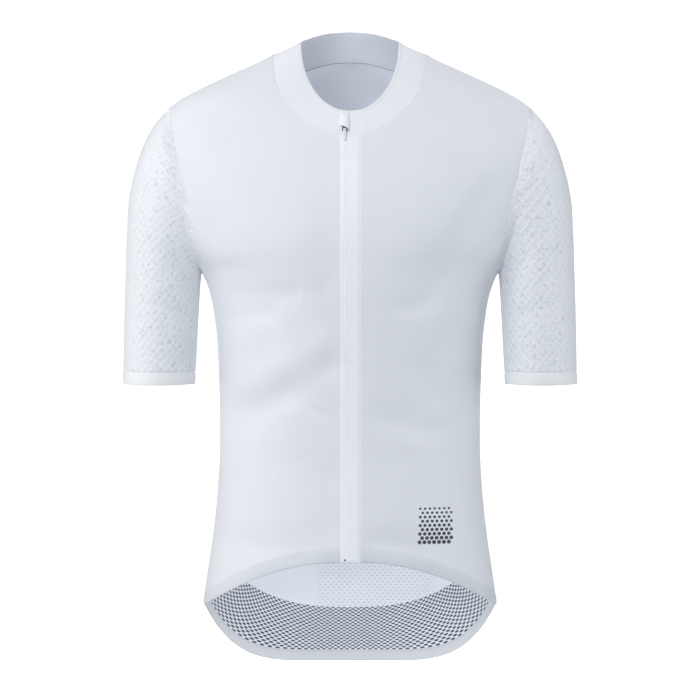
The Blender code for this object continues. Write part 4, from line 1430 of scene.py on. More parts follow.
@dataclass(frozen=True)
class RaisedGridFinish(ClothFinish):
    """The sleeve's cloth: pale raised threads that cross slantwise on a greyer ground."""

    across_step: float = 9.3
    along_step: float = 10.4
    sharpness: float = 9.0
    ridge_colour: Colour = (0.94, 0.965, 1.0)
    knot_and_glint_colour: Colour = (0.97, 0.985, 1.0)
    gap_shade_colour: Colour = (0.69, 0.725, 0.78)
    ridge_mm: float = 0.45
    least_ridge: float = 0.15

    def dress(self, bench: ClothBench, threads: Val) -> tuple[object, Val]:
        """The plain cloth with its raised threads laid over it, where the mesh's mask has them.

        A raised thread is a cosine of one flat coordinate plus or minus the other, to a high power.
        Noise makes it stronger and weaker along its way, paints a pale glint at some crossings and
        paints shade into some of the gaps between.

        Args:
            bench: the material's tree.
            threads: the ground's height.

        Returns:
            A link of the colour, and the relief in millimetres.
        """
        colour, relief = super().dress(bench, threads)
        around, down = bench.u / self.across_step, bench.v / self.along_step
        rising = (around + down).wave() ** self.sharpness
        falling = (around - down).wave() ** self.sharpness
        mask, higher = bench.mask("raised"), rising.math("MAXIMUM", falling)
        unevenness = bench.noise(5.0).stepped(0.36, 0.6) * (1 - self.least_ridge) + self.least_ridge
        ridge = higher * mask * unevenness
        # Painted light: a pale glint at some crossings, and painted shade in some of the gaps.
        knot_and_glint = rising * falling * mask * bench.noise(9.0).stepped(0.5, 0.62)
        gap_shade = (1.0 - higher) * mask * bench.noise(4.2).stepped(0.52, 0.66)
        colour = bench.mixed(gap_shade, colour, self.gap_shade_colour)
        colour = bench.mixed(ridge, colour, self.ridge_colour)
        return bench.mixed(knot_and_glint, colour, self.knot_and_glint_colour), relief + ridge * self.ridge_mm


@dataclass(frozen=True)
class TapeFinish(ClothFinish):
    """The zip's tape: it has the collar's colour on the collar, and the knit's at its far edge."""

    collar_colour: Colour = (0.86, 0.88, 0.915)
    edge_colour: Colour = (0.84, 0.87, 0.915)

    def dress(self, bench: ClothBench, threads: Val) -> tuple[object, Val]:
        """The plain cloth with the two colours over it.

        Args:
            bench: the material's tree.
            threads: the threads' height.

        Returns:
            A link of the colour, and the relief in millimetres.
        """
        colour, relief = super().dress(bench, threads)
        colour = bench.mixed(bench.mask("plain_edge"), colour, self.edge_colour)
        return bench.mixed(bench.mask("on_collar"), colour, self.collar_colour), relief


@dataclass(frozen=True)
class HardFinish:
    """Thread, nylon, plastic, metal or film: a colour with fine grain and slightly uneven gloss."""

    name: str
    colour: Colour
    roughness: float
    metallic: float = 0.0
    coat: float = 0.0
    grain_pitch_mm: float = 0.5
    grain_mm: float = 0.01
    wear_tone: float = 0.9
    specular: float = 0.5

    def make(self) -> bpy.types.Material:
        """Makes the finish.

        Returns:
            The material.
        """
        bench = Bench(self.name)
        grain = bench.noise(self.grain_pitch_mm, 3.0)
        patches = bench.noise(self.grain_pitch_mm * 9, 2.0).stepped(0.35, 0.7)
        shader = {
            "Base Color": bench.mixed(patches, self.colour, darker(self.colour, self.wear_tone)),
            "Roughness": grain * 0.12 + patches * 0.06 + (self.roughness - 0.06),
            "Metallic": self.metallic,
            "Coat Weight": self.coat,
            "Specular IOR Level": self.specular,
        }
        return bench.finish(shader, grain * self.grain_mm)


@dataclass(frozen=True)
class StageFinish:
    """The pale surface of the floor or backdrop, partly lit of itself."""

    name: str
    grey: float
    glow: float

    def make(self) -> bpy.types.Material:
        """Makes the finish.

        Returns:
            The material.
        """
        bench = Bench(self.name)
        shader = {
            "Base Color": (self.grey, self.grey, self.grey, 1.0),
            "Roughness": bench.noise(400.0) * 0.1 + 0.85,
            "Emission Color": (1.0, 1.0, 1.0, 1.0),
            "Emission Strength": self.glow,
            "Specular IOR Level": 0.0,
        }
        return bench.finish(shader)


RIB = {"weave": Weave.RIB, "across_mm": 1.3, "along_mm": 0.8}
YARN = {"grain_pitch_mm": 0.35, "grain_mm": 0.03}


@dataclass(frozen=True)
class Finishes:
    """Every finish of the jersey."""

    # Every glow here is painted light: emission that brightens the cloth, most on the insides.
    knit: ClothFinish = ClothFinish("smooth_knit", (0.84, 0.87, 0.915), glow=0.08)
    knit_inside: ClothFinish = ClothFinish(
        "knit_inside", (0.84, 0.87, 0.92), drape_mm=0.2, glow=0.12
    )
    # Its dashes are perforations in painted shade, and its glow is painted light, full in the low
    # mask and weaker above it.
    dashed_inside: HoledFinish = HoledFinish(
        "dashed_knit_inside", (0.84, 0.87, 0.92), holes=HoleGrid(6.2, 3.4, 2.1, 0.62),
        hole_shade_colour=(0.54, 0.58, 0.66), knot_and_glint_colour=(0.90, 0.92, 0.96), sink_mm=0.1, mask="dashes",
        glow=0.4, glow_mask="low",
    )
    # The net's holes are painted as dark shade, and its glow is painted light.
    net: HoledFinish = HoledFinish("tail_net", (0.82, 0.855, 0.93), relief_mm=0.03, glow=0.24)
    sleeve: RaisedGridFinish = RaisedGridFinish(
        "raised_grid_knit", (0.89, 0.92, 0.96), across_mm=1.1, along_mm=1.0, glow=0.06
    )
    band: ClothFinish = ClothFinish("grip_band", (0.82, 0.855, 0.905), **RIB, drape_mm=0.1)
    cuff: ClothFinish = ClothFinish(
        "cuff_band", (0.94, 0.955, 0.97), **RIB, drape_mm=0.1, glow=0.07
    )
    collar: ClothFinish = ClothFinish(
        "collar_knit", (0.93, 0.95, 0.99), across_mm=0.8, along_mm=0.7, glow=0.06
    )
    # The collar's inside is the collar's cloth painted darker, as its shade, with a painted glow on
    # top.
    collar_inside_painted_shade: ClothFinish = ClothFinish(
        "collar_inside_painted_shade", (0.60, 0.635, 0.69), across_mm=0.8, glow=0.24
    )
    band_inside: ClothFinish = ClothFinish("band_inside", (0.85, 0.875, 0.89), **RIB, glow=0.2)
    tape: TapeFinish = TapeFinish(
        "zip_tape_twill", (0.935, 0.96, 1.0), weave=Weave.TWILL, along_mm=0.9, relief_mm=0.03,
        drape_mm=0.05, glow=0.09,
    )
    painted_seam_shadow: HardFinish = HardFinish(
        "painted_seam_shadow", (0.40, 0.43, 0.49), 0.8, **YARN, specular=0.2
    )
    thread: HardFinish = HardFinish(
        "stitching_thread", (0.80, 0.83, 0.87), 0.7, **YARN, specular=0.3
    )
    seam: HardFinish = HardFinish(
        "flat_seam", (0.95, 0.965, 0.99), 0.8, grain_pitch_mm=0.8, grain_mm=0.05, specular=0.2
    )
    coil: HardFinish = HardFinish("nylon_coil", (0.74, 0.77, 0.81), 0.38)
    # The slider's dark colour is partly painted shadow for the slit under the garage.
    metal: HardFinish = HardFinish("dark_slider_and_slit_shadow", (0.15, 0.16, 0.175), 0.34, metallic=0.6, coat=0.3)
    plastic: HardFinish = HardFinish("white_pull", (0.90, 0.92, 0.94), 0.36, coat=0.2)
    film: HardFinish = HardFinish(
        "reflective_film", (0.040, 0.052, 0.060), 0.42, metallic=0.25, grain_pitch_mm=0.3,
        grain_mm=0.02, wear_tone=0.75,
    )


class Cut(NamedTuple):
    """A sheet's flat cut in metres: its width, its length and its area."""

    width: float
    length: float
    area: float


@dataclass
class Fitter:
    """Makes finished pieces of meshes, moves each with its body and hides the solid of its node."""

    finishes: Finishes = field(default_factory=Finishes)
    made: dict[str, bpy.types.Material] = field(default_factory=dict)
    count: int = 0

    def material(self, name: str) -> bpy.types.Material:
        """The material of one of the finishes, made when it is first wanted."""
        if name not in self.made:
            self.made[name] = getattr(self.finishes, name).make()
        return self.made[name]

    def fit(self, mesh: bpy.types.Mesh, finishes: Sequence[str], slot: str, node: str | None = None,
            cut: Cut | None = None, trims: Sequence[bpy.types.Object] = (),
            body: str = GARMENT) -> bpy.types.Object:
        """A piece of the jersey.

        Args:
            mesh: its mesh, whose name becomes its own.
            finishes: names of the finishes of its material slots.
            slot: not used.
            node: the node that it stands for, if any.
            cut: not used.
            trims: not used.
            body: the body that it moves with.

        Returns:
            The object.
        """
        piece = bpy.data.objects.new(mesh.name, mesh)
        for name in finishes:
            mesh.materials.append(self.material(name))
        if len(finishes) == 1:
            mesh.polygons.foreach_set("material_index", np.zeros(len(mesh.polygons), np.int32))
        bpy.context.scene.collection.objects.link(piece)
        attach(piece, body)
        if node:
            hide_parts(node)
        self.count += 1
        LOG.info("%s: %d faces, on %s", piece.name, len(mesh.polygons), body)
        return piece

    def fit_shape(self, name: str, shape: Shape, finish: str, slot: str, node: str | None = None,
                  body: str = GARMENT) -> bpy.types.Object:
        """A small piece from corners and faces; its arguments and result are as for fit."""
        return self.fit(made_mesh(name, *shape), [finish], slot, node=node, body=body)


@dataclass
class Stitching:
    """Rows of stitches, gathered and made into one piece."""

    pitch: float = 2.7
    length: float = 2.0
    half_width: float = 0.3
    half_height: float = 0.22
    lift: float = 0.12
    rows: list[Shape] = field(default_factory=list)

    def add(self, path: Array, normals: Array) -> None:
        """Adds a row along a path on the cloth."""
        sizes = (self.pitch, self.length, self.half_width, self.half_height)
        self.rows.append(stitches(path + normals * self.lift, normals, *sizes))

    def add_both(self, path: Array, normals: Array) -> None:
        """Adds a row on the left and its twin on the right."""
        for side in Side:
            self.add(side.turned(path), side.turned(normals))

    def piece(self, fitter: Fitter, name: str, slot: str) -> bpy.types.Object:
        """All the rows as one piece."""
        return fitter.fit_shape(name, joined(self.rows), "thread", slot)


@dataclass
class Fronts:
    """The two fronts with their hem bands, and the film of dots low on the left one."""

    fitter: Fitter
    lines: SeamLines = SeamLines()
    thickness: float = 0.7
    band_thickness: float = 1.0
    dense: int = 260
    middle_columns: int = 56
    edge_columns: tuple[float, ...] = (0.4, 0.9, 1.5, 2.3, 3.5, 5.2)
    side_steps: tuple[int, int, int] = (128, 80, 40)
    band_columns: int = 110
    band_rows: int = 12
    groove: float = 0.2
    groove_width: float = 1.1
    lip: float = 0.22
    lip_width: float = 3.2
    stitch_lines: tuple[float, float] = (-1.6, 1.8)
    panel_cut: Cut = Cut(0.235, 0.60, 0.1035)
    band_cut: Cut = Cut(0.215, 0.013, 0.00275)
    dots_from: tuple[float, float] = (75.5, 495.5)
    dots_to: tuple[float, float] = (111.5, 536.0)
    dot_pitch: float = 5.2
    dot_radius: tuple[float, float] = (2.3, 1.3)
    dot_sides: int = 14
    dot_reach: tuple[float, ...] = (1.0, 0.93, 0.6)
    dot_height: tuple[float, ...] = (-0.022, 0.22, 0.264)

    def panel_places(self) -> Array:
        """Places of the left front, from the zip to the side and from the hem band up.

        Returns:
            The grid of places.
        """
        lines, form = self.lines, self.lines.form
        start = form.share_at(lines.zip_half_width, lines.front_hem_drop)
        shares = np.linspace(start, 1, self.dense)
        bottom = places(shares, lines.front_hem(shares) - lines.front_band)
        top = lines.neckline(np.linspace(lines.neck_start(), 90, self.dense))
        right = lines.side_edge(bottom[-1, 1], self.side_steps, False)
        rise = bottom[0, 1] + (top[0, 1] - bottom[0, 1]) * lines.travelled(right)
        left = places(form.share_at(lines.zip_half_width, rise), rise)
        grid = lines.between(bottom, top, left, right, False)
        return lines.respaced(grid, self.edge_columns, self.edge_columns, self.middle_columns)

    def relief(self, points: Array) -> Array:
        """Seam grooves at the side and bottom, and the lip beside the zip's tape.

        Args:
            points: the panel's points.

        Returns:
            How far each is lifted.
        """
        away = EdgeDistances.of(points)
        dip = sum(bell(distance, self.groove_width) for distance in (away.right, away.bottom))
        lip = bell(away.left, self.lip_width) * (1 - bell(away.left, 0.5))
        return self.lip * lip - self.groove * np.minimum(dip, 1)

    def build(self) -> None:
        """Makes both fronts, their bands, their stitching and the dots."""
        lines, form = self.lines, self.lines.form
        place = self.panel_places()
        relief = self.relief(form.points(place))
        rows = Stitching()
        shares = np.linspace(place[0, 0, 0], 1, 200)
        for above in self.stitch_lines:
            line = places(shares, lines.front_hem(shares) - lines.front_band - above)
            rows.add_both(form.dressed(line), form.normals(line))
        thread = rows.piece(self.fitter, "hem_stitches_front", "band")
        for side in Side:
            own = side.turned(place)
            normals = form.normals(own)
            outer = form.dressed(own) + normals * side.turned(relief)[..., None]
            trims = [thread, self.dots()] if side is Side.LEFT else []
            cloth = ClothGrid(outer, normals, form.flat(own))
            self.fitter.fit(
                cloth.mesh(f"cloth_front_{side.word}", self.thickness), ["knit", "knit_inside"],
                "knit", f"front_{side.word}", self.panel_cut, trims,
            )
            self.fitter.fit(
                self.band(side).mesh(f"band_front_{side.word}", self.band_thickness, 0.5),
                ["band", "knit_inside"], "band", f"hem_front_{side.word}", self.band_cut,
            )

    def band(self, side: Side) -> ClothGrid:
        """The hem band between the panel and the hem, crowned between its edges.

        Args:
            side: the wearer's side.

        Returns:
            The band's grid.
        """
        lines, form = self.lines, self.lines.form
        start = form.share_at(lines.zip_half_width, lines.front_hem_drop)
        shares = np.linspace(start, 1, self.band_columns)[:, None]
        upward = np.linspace(0, 1, self.band_rows + 1)
        place = side.turned(places(shares, lines.front_hem(shares) - lines.front_band * upward))
        normals = form.normals(place)
        outer = form.dressed(place) + normals * crown(upward, lines.front_band, 0.35)[:, None]
        return ClothGrid(outer, normals, travelled_flat(outer))

    def dots(self) -> bpy.types.Object:
        """The film: a block of staggered round dots that shrink upwards, each a low dome.

        Returns:
            The piece.
        """
        form = self.lines.form
        (low_x, low_drop), (high_x, high_drop) = self.dots_from, self.dots_to
        row_step = self.dot_pitch * math.sqrt(3) / 2
        rows = int((high_drop - low_drop) / row_step) + 1
        row, place = np.indices((rows, int((high_x - low_x) / self.dot_pitch) + 1))
        x = (low_x + (place + 0.5 * (row % 2)) * self.dot_pitch).reshape(-1, 1, 1)
        drop = (low_drop + row * row_step).reshape(-1, 1, 1)
        x, drop = x[x[:, 0, 0] <= high_x], drop[x[:, 0, 0] <= high_x]
        share = (drop - low_drop) / (high_drop - low_drop)
        radius = self.dot_radius[1] + (self.dot_radius[0] - self.dot_radius[1]) * share
        reach = radius * np.array(self.dot_reach)[:, None]
        angle = circle(self.dot_sides)
        where = form.on_front(x + reach * np.cos(angle), drop - reach * np.sin(angle))
        height = np.array(self.dot_height)[:, None, None]
        points = form.dressed(where) + form.normals(where) * height
        dome = ring_faces(len(height), self.dot_sides, False)
        faces = repeated(dome, len(x), len(height) * self.dot_sides)
        shape = (points.reshape(-1, 3), faces)
        return self.fitter.fit_shape("reflective_dots", shape, "film", "knit")


@dataclass
class Back:
    """The back panel, the net of the tail, its hem band and the pockets."""

    fitter: Fitter
    lines: SeamLines = SeamLines()
    thickness: float = 0.7
    net_thickness: float = 0.6
    band_thickness: float = 1.0
    dense: int = 240
    half_columns: int = 54
    edge_columns: tuple[float, ...] = (0.4, 0.9, 1.5, 2.3, 3.5, 5.2)
    side_steps: tuple[int, int, int] = (104, 76, 38)
    tail_columns: int = 90
    net_rows: int = 30
    band_rows: int = 12
    groove: float = 0.5
    groove_width: float = 1.1
    dashes_from: tuple[float, float] = (-44.0, -34.0)
    dashes_to: tuple[float, float] = (84.0, 104.0)
    dashes_down: tuple[float, float] = (440.0, 520.0)
    least_dashes: float = 0.12
    low_down: tuple[float, float] = (300.0, 480.0)
    net_groove: float = 0.4
    steepest: float = 0.88
    side_stretch: tuple[float, float] = (1.65, 1.45)
    pocket_steps: tuple[int, int] = (70, 64)
    pocket_top_drop: float = 432.0
    pocket_side_turn: float = 0.74
    pocket_divider_x: float = 42.0
    pocket_gape: float = 9.6
    pocket_lift: float = 1.2
    pocket_margin: float = 2.0
    pocket_grooves: tuple[float, float] = (0.35, 0.4)
    pocket_groove_width: float = 1.2
    binding_sizes: tuple[float, float] = (1.1, 0.95)
    binding_sink: float = 0.35
    divider_rows: tuple[float, float] = (-1.1, 1.1)
    gape_rise: float = 1.3
    gape_width: float = 0.8
    back_cut: Cut = Cut(0.47, 0.63, 0.245)
    net_cut: Cut = Cut(0.46, 0.056, 0.0244)
    band_cut: Cut = Cut(0.50, 0.012, 0.006)
    pocket_cut: Cut = Cut(0.37, 0.20, 0.058)

    def build(self) -> None:
        """Makes the back's pieces."""
        self.panel()
        self.tail()
        self.pockets()

    def panel(self) -> None:
        """The back, in one piece from side to side, with seam grooves at its sides and bottom."""
        lines, form = self.lines, self.lines.form
        shares = np.linspace(1, 0, self.dense)
        bottom = places(2 - shares, lines.pocket_seam(shares))
        top = lines.neckline(np.linspace(90, 180, self.dense))
        side = lines.side_edge(bottom[0, 1], self.side_steps, True)
        rise = bottom[-1, 1] + (top[-1, 1] - bottom[-1, 1]) * lines.travelled(side)
        grid = lines.between(bottom, top, side, places(2, rise), True)
        place = both_halves(lines.respaced(grid, self.edge_columns, (), self.half_columns))
        away = EdgeDistances.of(form.points(place))
        dip = sum(bell(distance, self.groove_width) for distance in away)
        normals = form.normals(place)
        outer = form.dressed(place) - normals * (self.groove * np.minimum(dip, 1))[..., None]
        # Painted light: the dashes mask keeps the painted perforations strong in the middle and low
        # down, where light falls on the inside, and the low mask makes the inside's painted glow
        # stronger low down.
        x, drop = outer[..., 0], place[..., 1]
        middle = eased(x, *self.dashes_from) * (1 - eased(x, *self.dashes_to))
        middle = self.least_dashes + (1 - self.least_dashes) * middle
        masks = {
            "dashes": middle * eased(drop, *self.dashes_down),
            "low": eased(drop, *self.low_down),
        }
        seam = places(2 - shares, lines.pocket_seam(shares) - 2.0)
        rows = Stitching()
        rows.add_both(form.dressed(seam), form.normals(seam))
        thread = rows.piece(self.fitter, "tail_stitches", "knit")
        self.fitter.fit(
            ClothGrid(outer, normals, form.flat(place), masks).mesh("cloth_back", self.thickness),
            ["knit", "dashed_inside"], "knit", "back", self.back_cut, [thread],
        )

    @staticmethod
    def strip(low: Array, high: Array, shares: Array, rows: int) -> Array:
        """Places between two lines of the back.

        Args:
            low: drops of the lower line.
            high: drops of the upper line.
            shares: the shares of the quarter section that both go by, from the side to the middle.
            rows: how many steps lie between them.

        Returns:
            The places, from side to side.
        """
        upward = np.linspace(0, 1, rows + 1)
        drop = low[:, None] * (1 - upward) + high[:, None] * upward
        return both_halves(places(2 - shares[:, None], drop))

    def tail(self) -> None:
        """The net under the pocket seam, and the band that ends it."""
        lines, form = self.lines, self.lines.form
        shares = np.linspace(1, 0, self.tail_columns)
        hem_top = lines.tail_hem(shares) - lines.back_band
        place = self.strip(hem_top, lines.pocket_seam(shares), shares, self.net_rows)
        normals, outer = form.normals(place), form.dressed(place)
        away = EdgeDistances.of(outer)
        dip = np.minimum(bell(away.bottom, 1.0) + bell(away.top, 1.0), 1)
        outer = outer - normals * (self.net_groove * dip)[..., None]
        cloth = ClothGrid(outer, normals, self.along_hem(outer))
        net = cloth.mesh("cloth_tail_net", self.net_thickness)
        self.fitter.fit(net, ["net"], "net", "tail_net", self.net_cut)
        place = self.strip(lines.tail_hem(shares), hem_top, shares, self.band_rows)
        upward = np.linspace(0, 1, self.band_rows + 1)
        normals = form.normals(place)
        outer = form.dressed(place) + normals * crown(upward, lines.back_band, 0.3)[:, None]
        rows = Stitching()
        line = places(2 - shares, hem_top + 1.6)
        path, out = form.dressed(line), form.normals(line)
        rows.add_both(path, out)
        rows.add_both(path - out * (self.band_thickness + 0.1), -out)
        thread = rows.piece(self.fitter, "hem_stitches_back", "band")
        cloth = ClothGrid(outer, normals, travelled_flat(outer))
        self.fitter.fit(
            cloth.mesh("band_back", self.band_thickness, 0.5), ["band", "band_inside"], "band",
            "hem_back", self.band_cut, [thread],
        )

    def along_hem(self, points: Array) -> Array:
        """The net's flat coordinates: along the hem, and square to it.

        A point's height over the hem is split by the hem's slope: its sine is added along the hem
        and its cosine is the distance from it. The net is stretched wider towards the sides, so
        both are divided by a factor that grows with x.

        Args:
            points: the net's points, from the hem's band up.

        Returns:
            The coordinates, 0 at the centre back.
        """
        hem = points[:, 0]
        run = travel(hem)
        slope = np.clip(np.gradient(hem[:, 2], run), -self.steepest, self.steepest)
        aside = eased(np.abs(hem[:, 0]), 20, 120)
        steps = np.diff(run) / (1 + (self.side_stretch[0] - 1) * (aside[1:] + aside[:-1]) / 2)
        along = np.concatenate([[0], np.cumsum(steps)])
        along = along - along[len(along) // 2]
        upward, wide = climb(points), 1 + (self.side_stretch[1] - 1) * aside
        square = upward * (np.sqrt(1 - slope**2) / wide)[:, None]
        return stacked(along[:, None] + upward * slope[:, None], square)

    def gape(self, x: Array, side_x: float) -> Array:
        """How far a pocket stands open: 0 at its seams and 1 in its middle.

        The centre pocket follows a quarter cosine from its middle, a side one a half sine.

        Args:
            x: how far across.
            side_x: where the panel's sides are.

        Returns:
            The share of the full gape.
        """
        x = np.abs(x)
        in_centre = np.cos(np.clip(x / self.pocket_divider_x, 0, 1) * math.pi / 2)
        beside = (x - self.pocket_divider_x) / (side_x - self.pocket_divider_x)
        in_side = np.sin(np.clip(beside, 0, 1) * math.pi)
        return np.where(x < self.pocket_divider_x, in_centre, in_side) ** self.gape_width

    def pocket_points(self) -> Array:
        """The pocket panel's outer points, lifted off the back by the gape as it rises.

        Returns:
            The grid of points.
        """
        columns, rows = self.pocket_steps
        shares = np.linspace(self.pocket_side_turn, 0, columns + 1)
        low = self.lines.pocket_seam(shares) - self.pocket_margin
        place = self.strip(low, np.full_like(low, self.pocket_top_drop), shares, rows)
        points = self.lines.form.dressed(place)
        rise = np.sin(np.linspace(0, 1, rows + 1)[None] * math.pi / 2) ** self.gape_rise
        gape = self.gape(points[..., 0], np.abs(points[0, :, 0]).mean())
        lift = self.pocket_lift + self.pocket_gape * gape * rise
        return points + self.lines.form.normals(place) * lift[..., None]

    def pockets(self) -> None:
        """The pocket panel, its divider and side stitching and the binding along its openings."""
        points = self.pocket_points()
        normals = grid_normals(points)
        away = EdgeDistances.of(points)
        width, (at_divider, at_edge) = self.pocket_groove_width, self.pocket_grooves
        divider = bell(np.abs(points[..., 0]) - self.pocket_divider_x, width)
        edge = np.minimum(sum(bell(distance, width) for distance in away[:3]), 1)
        outer = points - normals * (at_divider * divider + at_edge * edge)[..., None]
        rows = Stitching()
        for column in (1, -2):
            rows.add(outer[column], normals[column])
        for sign in (1, -1):
            for beside in self.divider_rows:
                x = sign * self.pocket_divider_x + beside
                line, across = (
                    np.stack([
                        read_off(x, points[::-1, row, 0], values[::-1, row])
                        for row in range(points.shape[1])
                    ])
                    for values in (points, normals)
                )
                rows.add(line, unit(across))
        rows.add(outer[:, -5], normals[:, -5])
        thread = rows.piece(self.fitter, "pocket_stitches", "knit")
        rim_path = outer[:, -1] - normals[:, -1] * self.binding_sink
        rim = tube(rim_path, normals[:, -1], *self.binding_sizes, False)
        binding = self.fitter.fit_shape("pocket_binding", rim, "thread", "band")
        self.fitter.fit(
            ClothGrid(outer, normals, travelled_flat(outer)).mesh("cloth_pockets", self.thickness),
            ["knit", "knit_inside"], "knit", "rear_pockets", self.pocket_cut, [thread, binding],
        )


@dataclass
class Sleeves:
    """Both sleeves of raised-grid knit, their cuffs and the seams round the armholes."""

    fitter: Fitter
    form: SleeveForm = SleeveForm()
    columns: int = 280
    rows: int = 190
    inner_step: int = 9
    thickness: float = 0.7
    cuff_columns: int = 150
    cuff_rows: int = 12
    cuff_width: float = 13.2
    cuff_thickness: float = 1.0
    threads_round: int = 30
    across_step: float = 9.3
    along_step: float = 10.4
    ridge: float = 0.30
    sharpness: float = 7.0
    fade_drop: tuple[float, float] = (66.0, 98.0)
    fade_outside: tuple[float, float] = (24.0, 62.0)
    least_raised: float = 0.3
    groove: float = 0.5
    seam_share: float = 0.007
    seam_half_width: float = 2.5
    seam_half_height: float = 0.3
    stitch_shares: tuple[float, float] = (-0.008, 0.009)
    sleeve_cut: Cut = Cut(0.36, 0.29, 0.0655)
    cuff_cut: Cut = Cut(0.29, 0.0135, 0.0038)

    def cuff_share(self) -> float:
        """The share of the length at which the cuff starts."""
        return float(self.form.run()[-2])

    def build(self) -> None:
        """Makes each sleeve, its cuff and its seams."""
        step = 360 / self.columns
        angles = np.arange(self.columns) * step
        shares = self.cuff_share() * (1 - np.linspace(0, 1, self.rows + 1))
        points, normals = self.form.dressed(angles, shares), self.form.normals(angles, shares)
        drop = -points[..., 2]
        # The raised mask fades the grid on the sleeve's outside, where the light makes it look
        # faint; in the grid's colours this is painted light.
        outside = np.abs(np.mod(angles + 180, 360) - 180)[:, None]
        open_share = (1 - self.least_raised) * eased(outside, *self.fade_outside)
        raised = eased(drop, *self.fade_drop) * (self.least_raised + open_share)
        around = (angles / 360 * self.threads_round)[:, None]
        turns = [around + sign * drop / self.along_step for sign in (1, -1)]
        waves = [((1 + np.cos(2 * math.pi * turn)) / 2) ** self.sharpness for turn in turns]
        away = EdgeDistances.of(points)
        dip = np.minimum(bell(away.bottom, 1.0) + bell(away.top, 1.4), 1)
        lift = self.ridge * np.maximum(*waves) * raised - self.groove * dip
        outer = points + normals * lift[..., None]
        for side in Side:
            own = side.turned(outer)
            first = 0 if side is Side.LEFT else 1 - self.columns
            count = np.arange(first, first + self.columns + 1)
            u = count * step / 360 * self.threads_round * self.across_step
            v = -own[np.arange(self.columns + 1) % self.columns, :, 2]
            masks = {"raised": side.turned(raised)}
            flat = stacked(u[:, None], v)
            cloth = ClothGrid(own, side.turned(normals), flat, masks, is_ring=True)
            trims = self.seams(side)
            self.fitter.fit(
                cloth.mesh(f"cloth_sleeve_{side.word}", self.thickness, inner_step=self.inner_step),
                ["sleeve", "knit_inside"], "sleeve_mesh", f"sleeve_{side.word}", self.sleeve_cut,
                trims,
            )
            self.cuff(side)

    def cuff(self, side: Side) -> None:
        """A cuff: a band crowned between the sleeve's end and its own rounded edge.

        Args:
            side: the wearer's side.
        """
        angles = np.arange(self.cuff_columns) * 360 / self.cuff_columns
        upward = np.linspace(0, 1, self.cuff_rows + 1)
        shares = 1 + (self.cuff_share() - 1) * upward
        normals = self.form.normals(angles, shares)
        height = crown(upward, self.cuff_width, 0.3)
        outer = self.form.dressed(angles, shares) + normals * height[:, None]
        flat = travelled_flat(np.concatenate([outer, outer[:1]]))
        cloth = ClothGrid(side.turned(outer), side.turned(normals), flat, is_ring=True)
        self.fitter.fit(
            cloth.mesh(f"band_cuff_{side.word}", self.cuff_thickness, 0.5), ["cuff", "knit_inside"],
            "band", f"cuff_{side.word}", self.cuff_cut,
        )

    def seams(self, side: Side) -> list[bpy.types.Object]:
        """The flat seam on the sleeve's side of the armhole, and the stitching at the cuff.

        Args:
            side: the wearer's side.

        Returns:
            The two pieces.
        """
        def ring(angles: Array, share: float) -> Shape:
            """A line round the sleeve at one share of its length.

            Args:
                angles: degrees round it.
                share: the share.

            Returns:
                Its points and their normals.
            """
            at = np.array([share])
            both = self.form.dressed(angles, at)[:, 0], self.form.normals(angles, at)[:, 0]
            return side.turned(both[0]), side.turned(both[1])

        angles = np.arange(0, 360, 1.5)
        path, normals = ring(angles, self.seam_share)
        half = (self.seam_half_width, self.seam_half_height)
        shape = tube(path + normals * 0.05, normals, *half, True)
        band = self.fitter.fit_shape(f"armhole_seam_{side.word}", shape, "seam", "sleeve_mesh")
        rows = Stitching(pitch=2.4, length=1.7)
        for away in self.stitch_shares:
            rows.add(*ring(np.append(angles, 0.0), self.cuff_share() + away))
        return [band, rows.piece(self.fitter, f"cuff_stitches_{side.word}", "band")]


@dataclass
class Collar:
    """The collar's band, its rolled top edge and the stitching beside its seam."""

    fitter: Fitter
    form: CollarForm = CollarForm()
    columns: int = 260
    rows: int = 26
    thickness: float = 1.0
    groove: float = 0.17
    groove_width: float = 2.2
    roll: float = 0.35
    arch: tuple[float, float] = (98.0, 262.0)
    arch_points: int = 160
    arch_radius: float = 0.42
    stitch_rows: tuple[tuple[float, int], ...] = ((0.07, 1), (0.07, -1), (0.93, 1))
    collar_cut: Cut = Cut(0.52, 0.040, 0.0168)

    def angles(self, columns: int, heights: Array) -> Array:
        """Angles of a grid whose end columns run straight up beside the zip's band."""
        start = self.form.angle_off(self.form.lines.zip_half_width, heights)
        return start + (360 - 2 * start) * np.linspace(0, 1, columns + 1)[:, None]

    def build(self) -> None:
        """Makes the collar, its stitching and a dark line along the neck seam inside, which is a
        painted shadow.
        """
        form, heights = self.form, np.linspace(0, 1, self.rows + 1)
        angles = self.angles(self.columns, heights)
        points, normals = form.points(angles, heights[None]), form.normals(angles, heights[None])
        away = EdgeDistances.of(points)
        groove = self.groove * bell(away.bottom, self.groove_width)
        outer = points + normals * (self.roll * bell(away.top - 1.6, 1.3) - groove)[..., None]
        rows = Stitching(pitch=2.5, half_height=0.12)
        for height, face in self.stitch_rows:
            at = np.array([height])
            along = self.angles(360, at)
            out = form.normals(along, at[None])[:, 0]
            above = 0.2 if face > 0 else -self.thickness - 0.05
            rows.add(form.points(along, at[None])[:, 0] + out * above, out * face)
        thread = rows.piece(self.fitter, "collar_stitches", "band")
        # A dark tube inside along the back of the neck seam: a painted shadow line.
        behind, seam = np.linspace(*self.arch, self.arch_points), np.zeros(self.arch_points)
        out = form.normals(behind, seam)
        inside = form.points(behind, seam) - out * (self.thickness + 0.1)
        line = tube(inside, -out, self.arch_radius, self.arch_radius, False, sides=8)
        arch = self.fitter.fit_shape("neck_seam_shadow_inside", line, "painted_seam_shadow", "band")
        cloth = ClothGrid(outer, normals, travelled_flat(outer))
        self.fitter.fit(
            cloth.mesh("cloth_collar", self.thickness, 0.5), ["collar", "collar_inside_painted_shade"], "band",
            "collar", self.collar_cut, [thread, arch],
        )


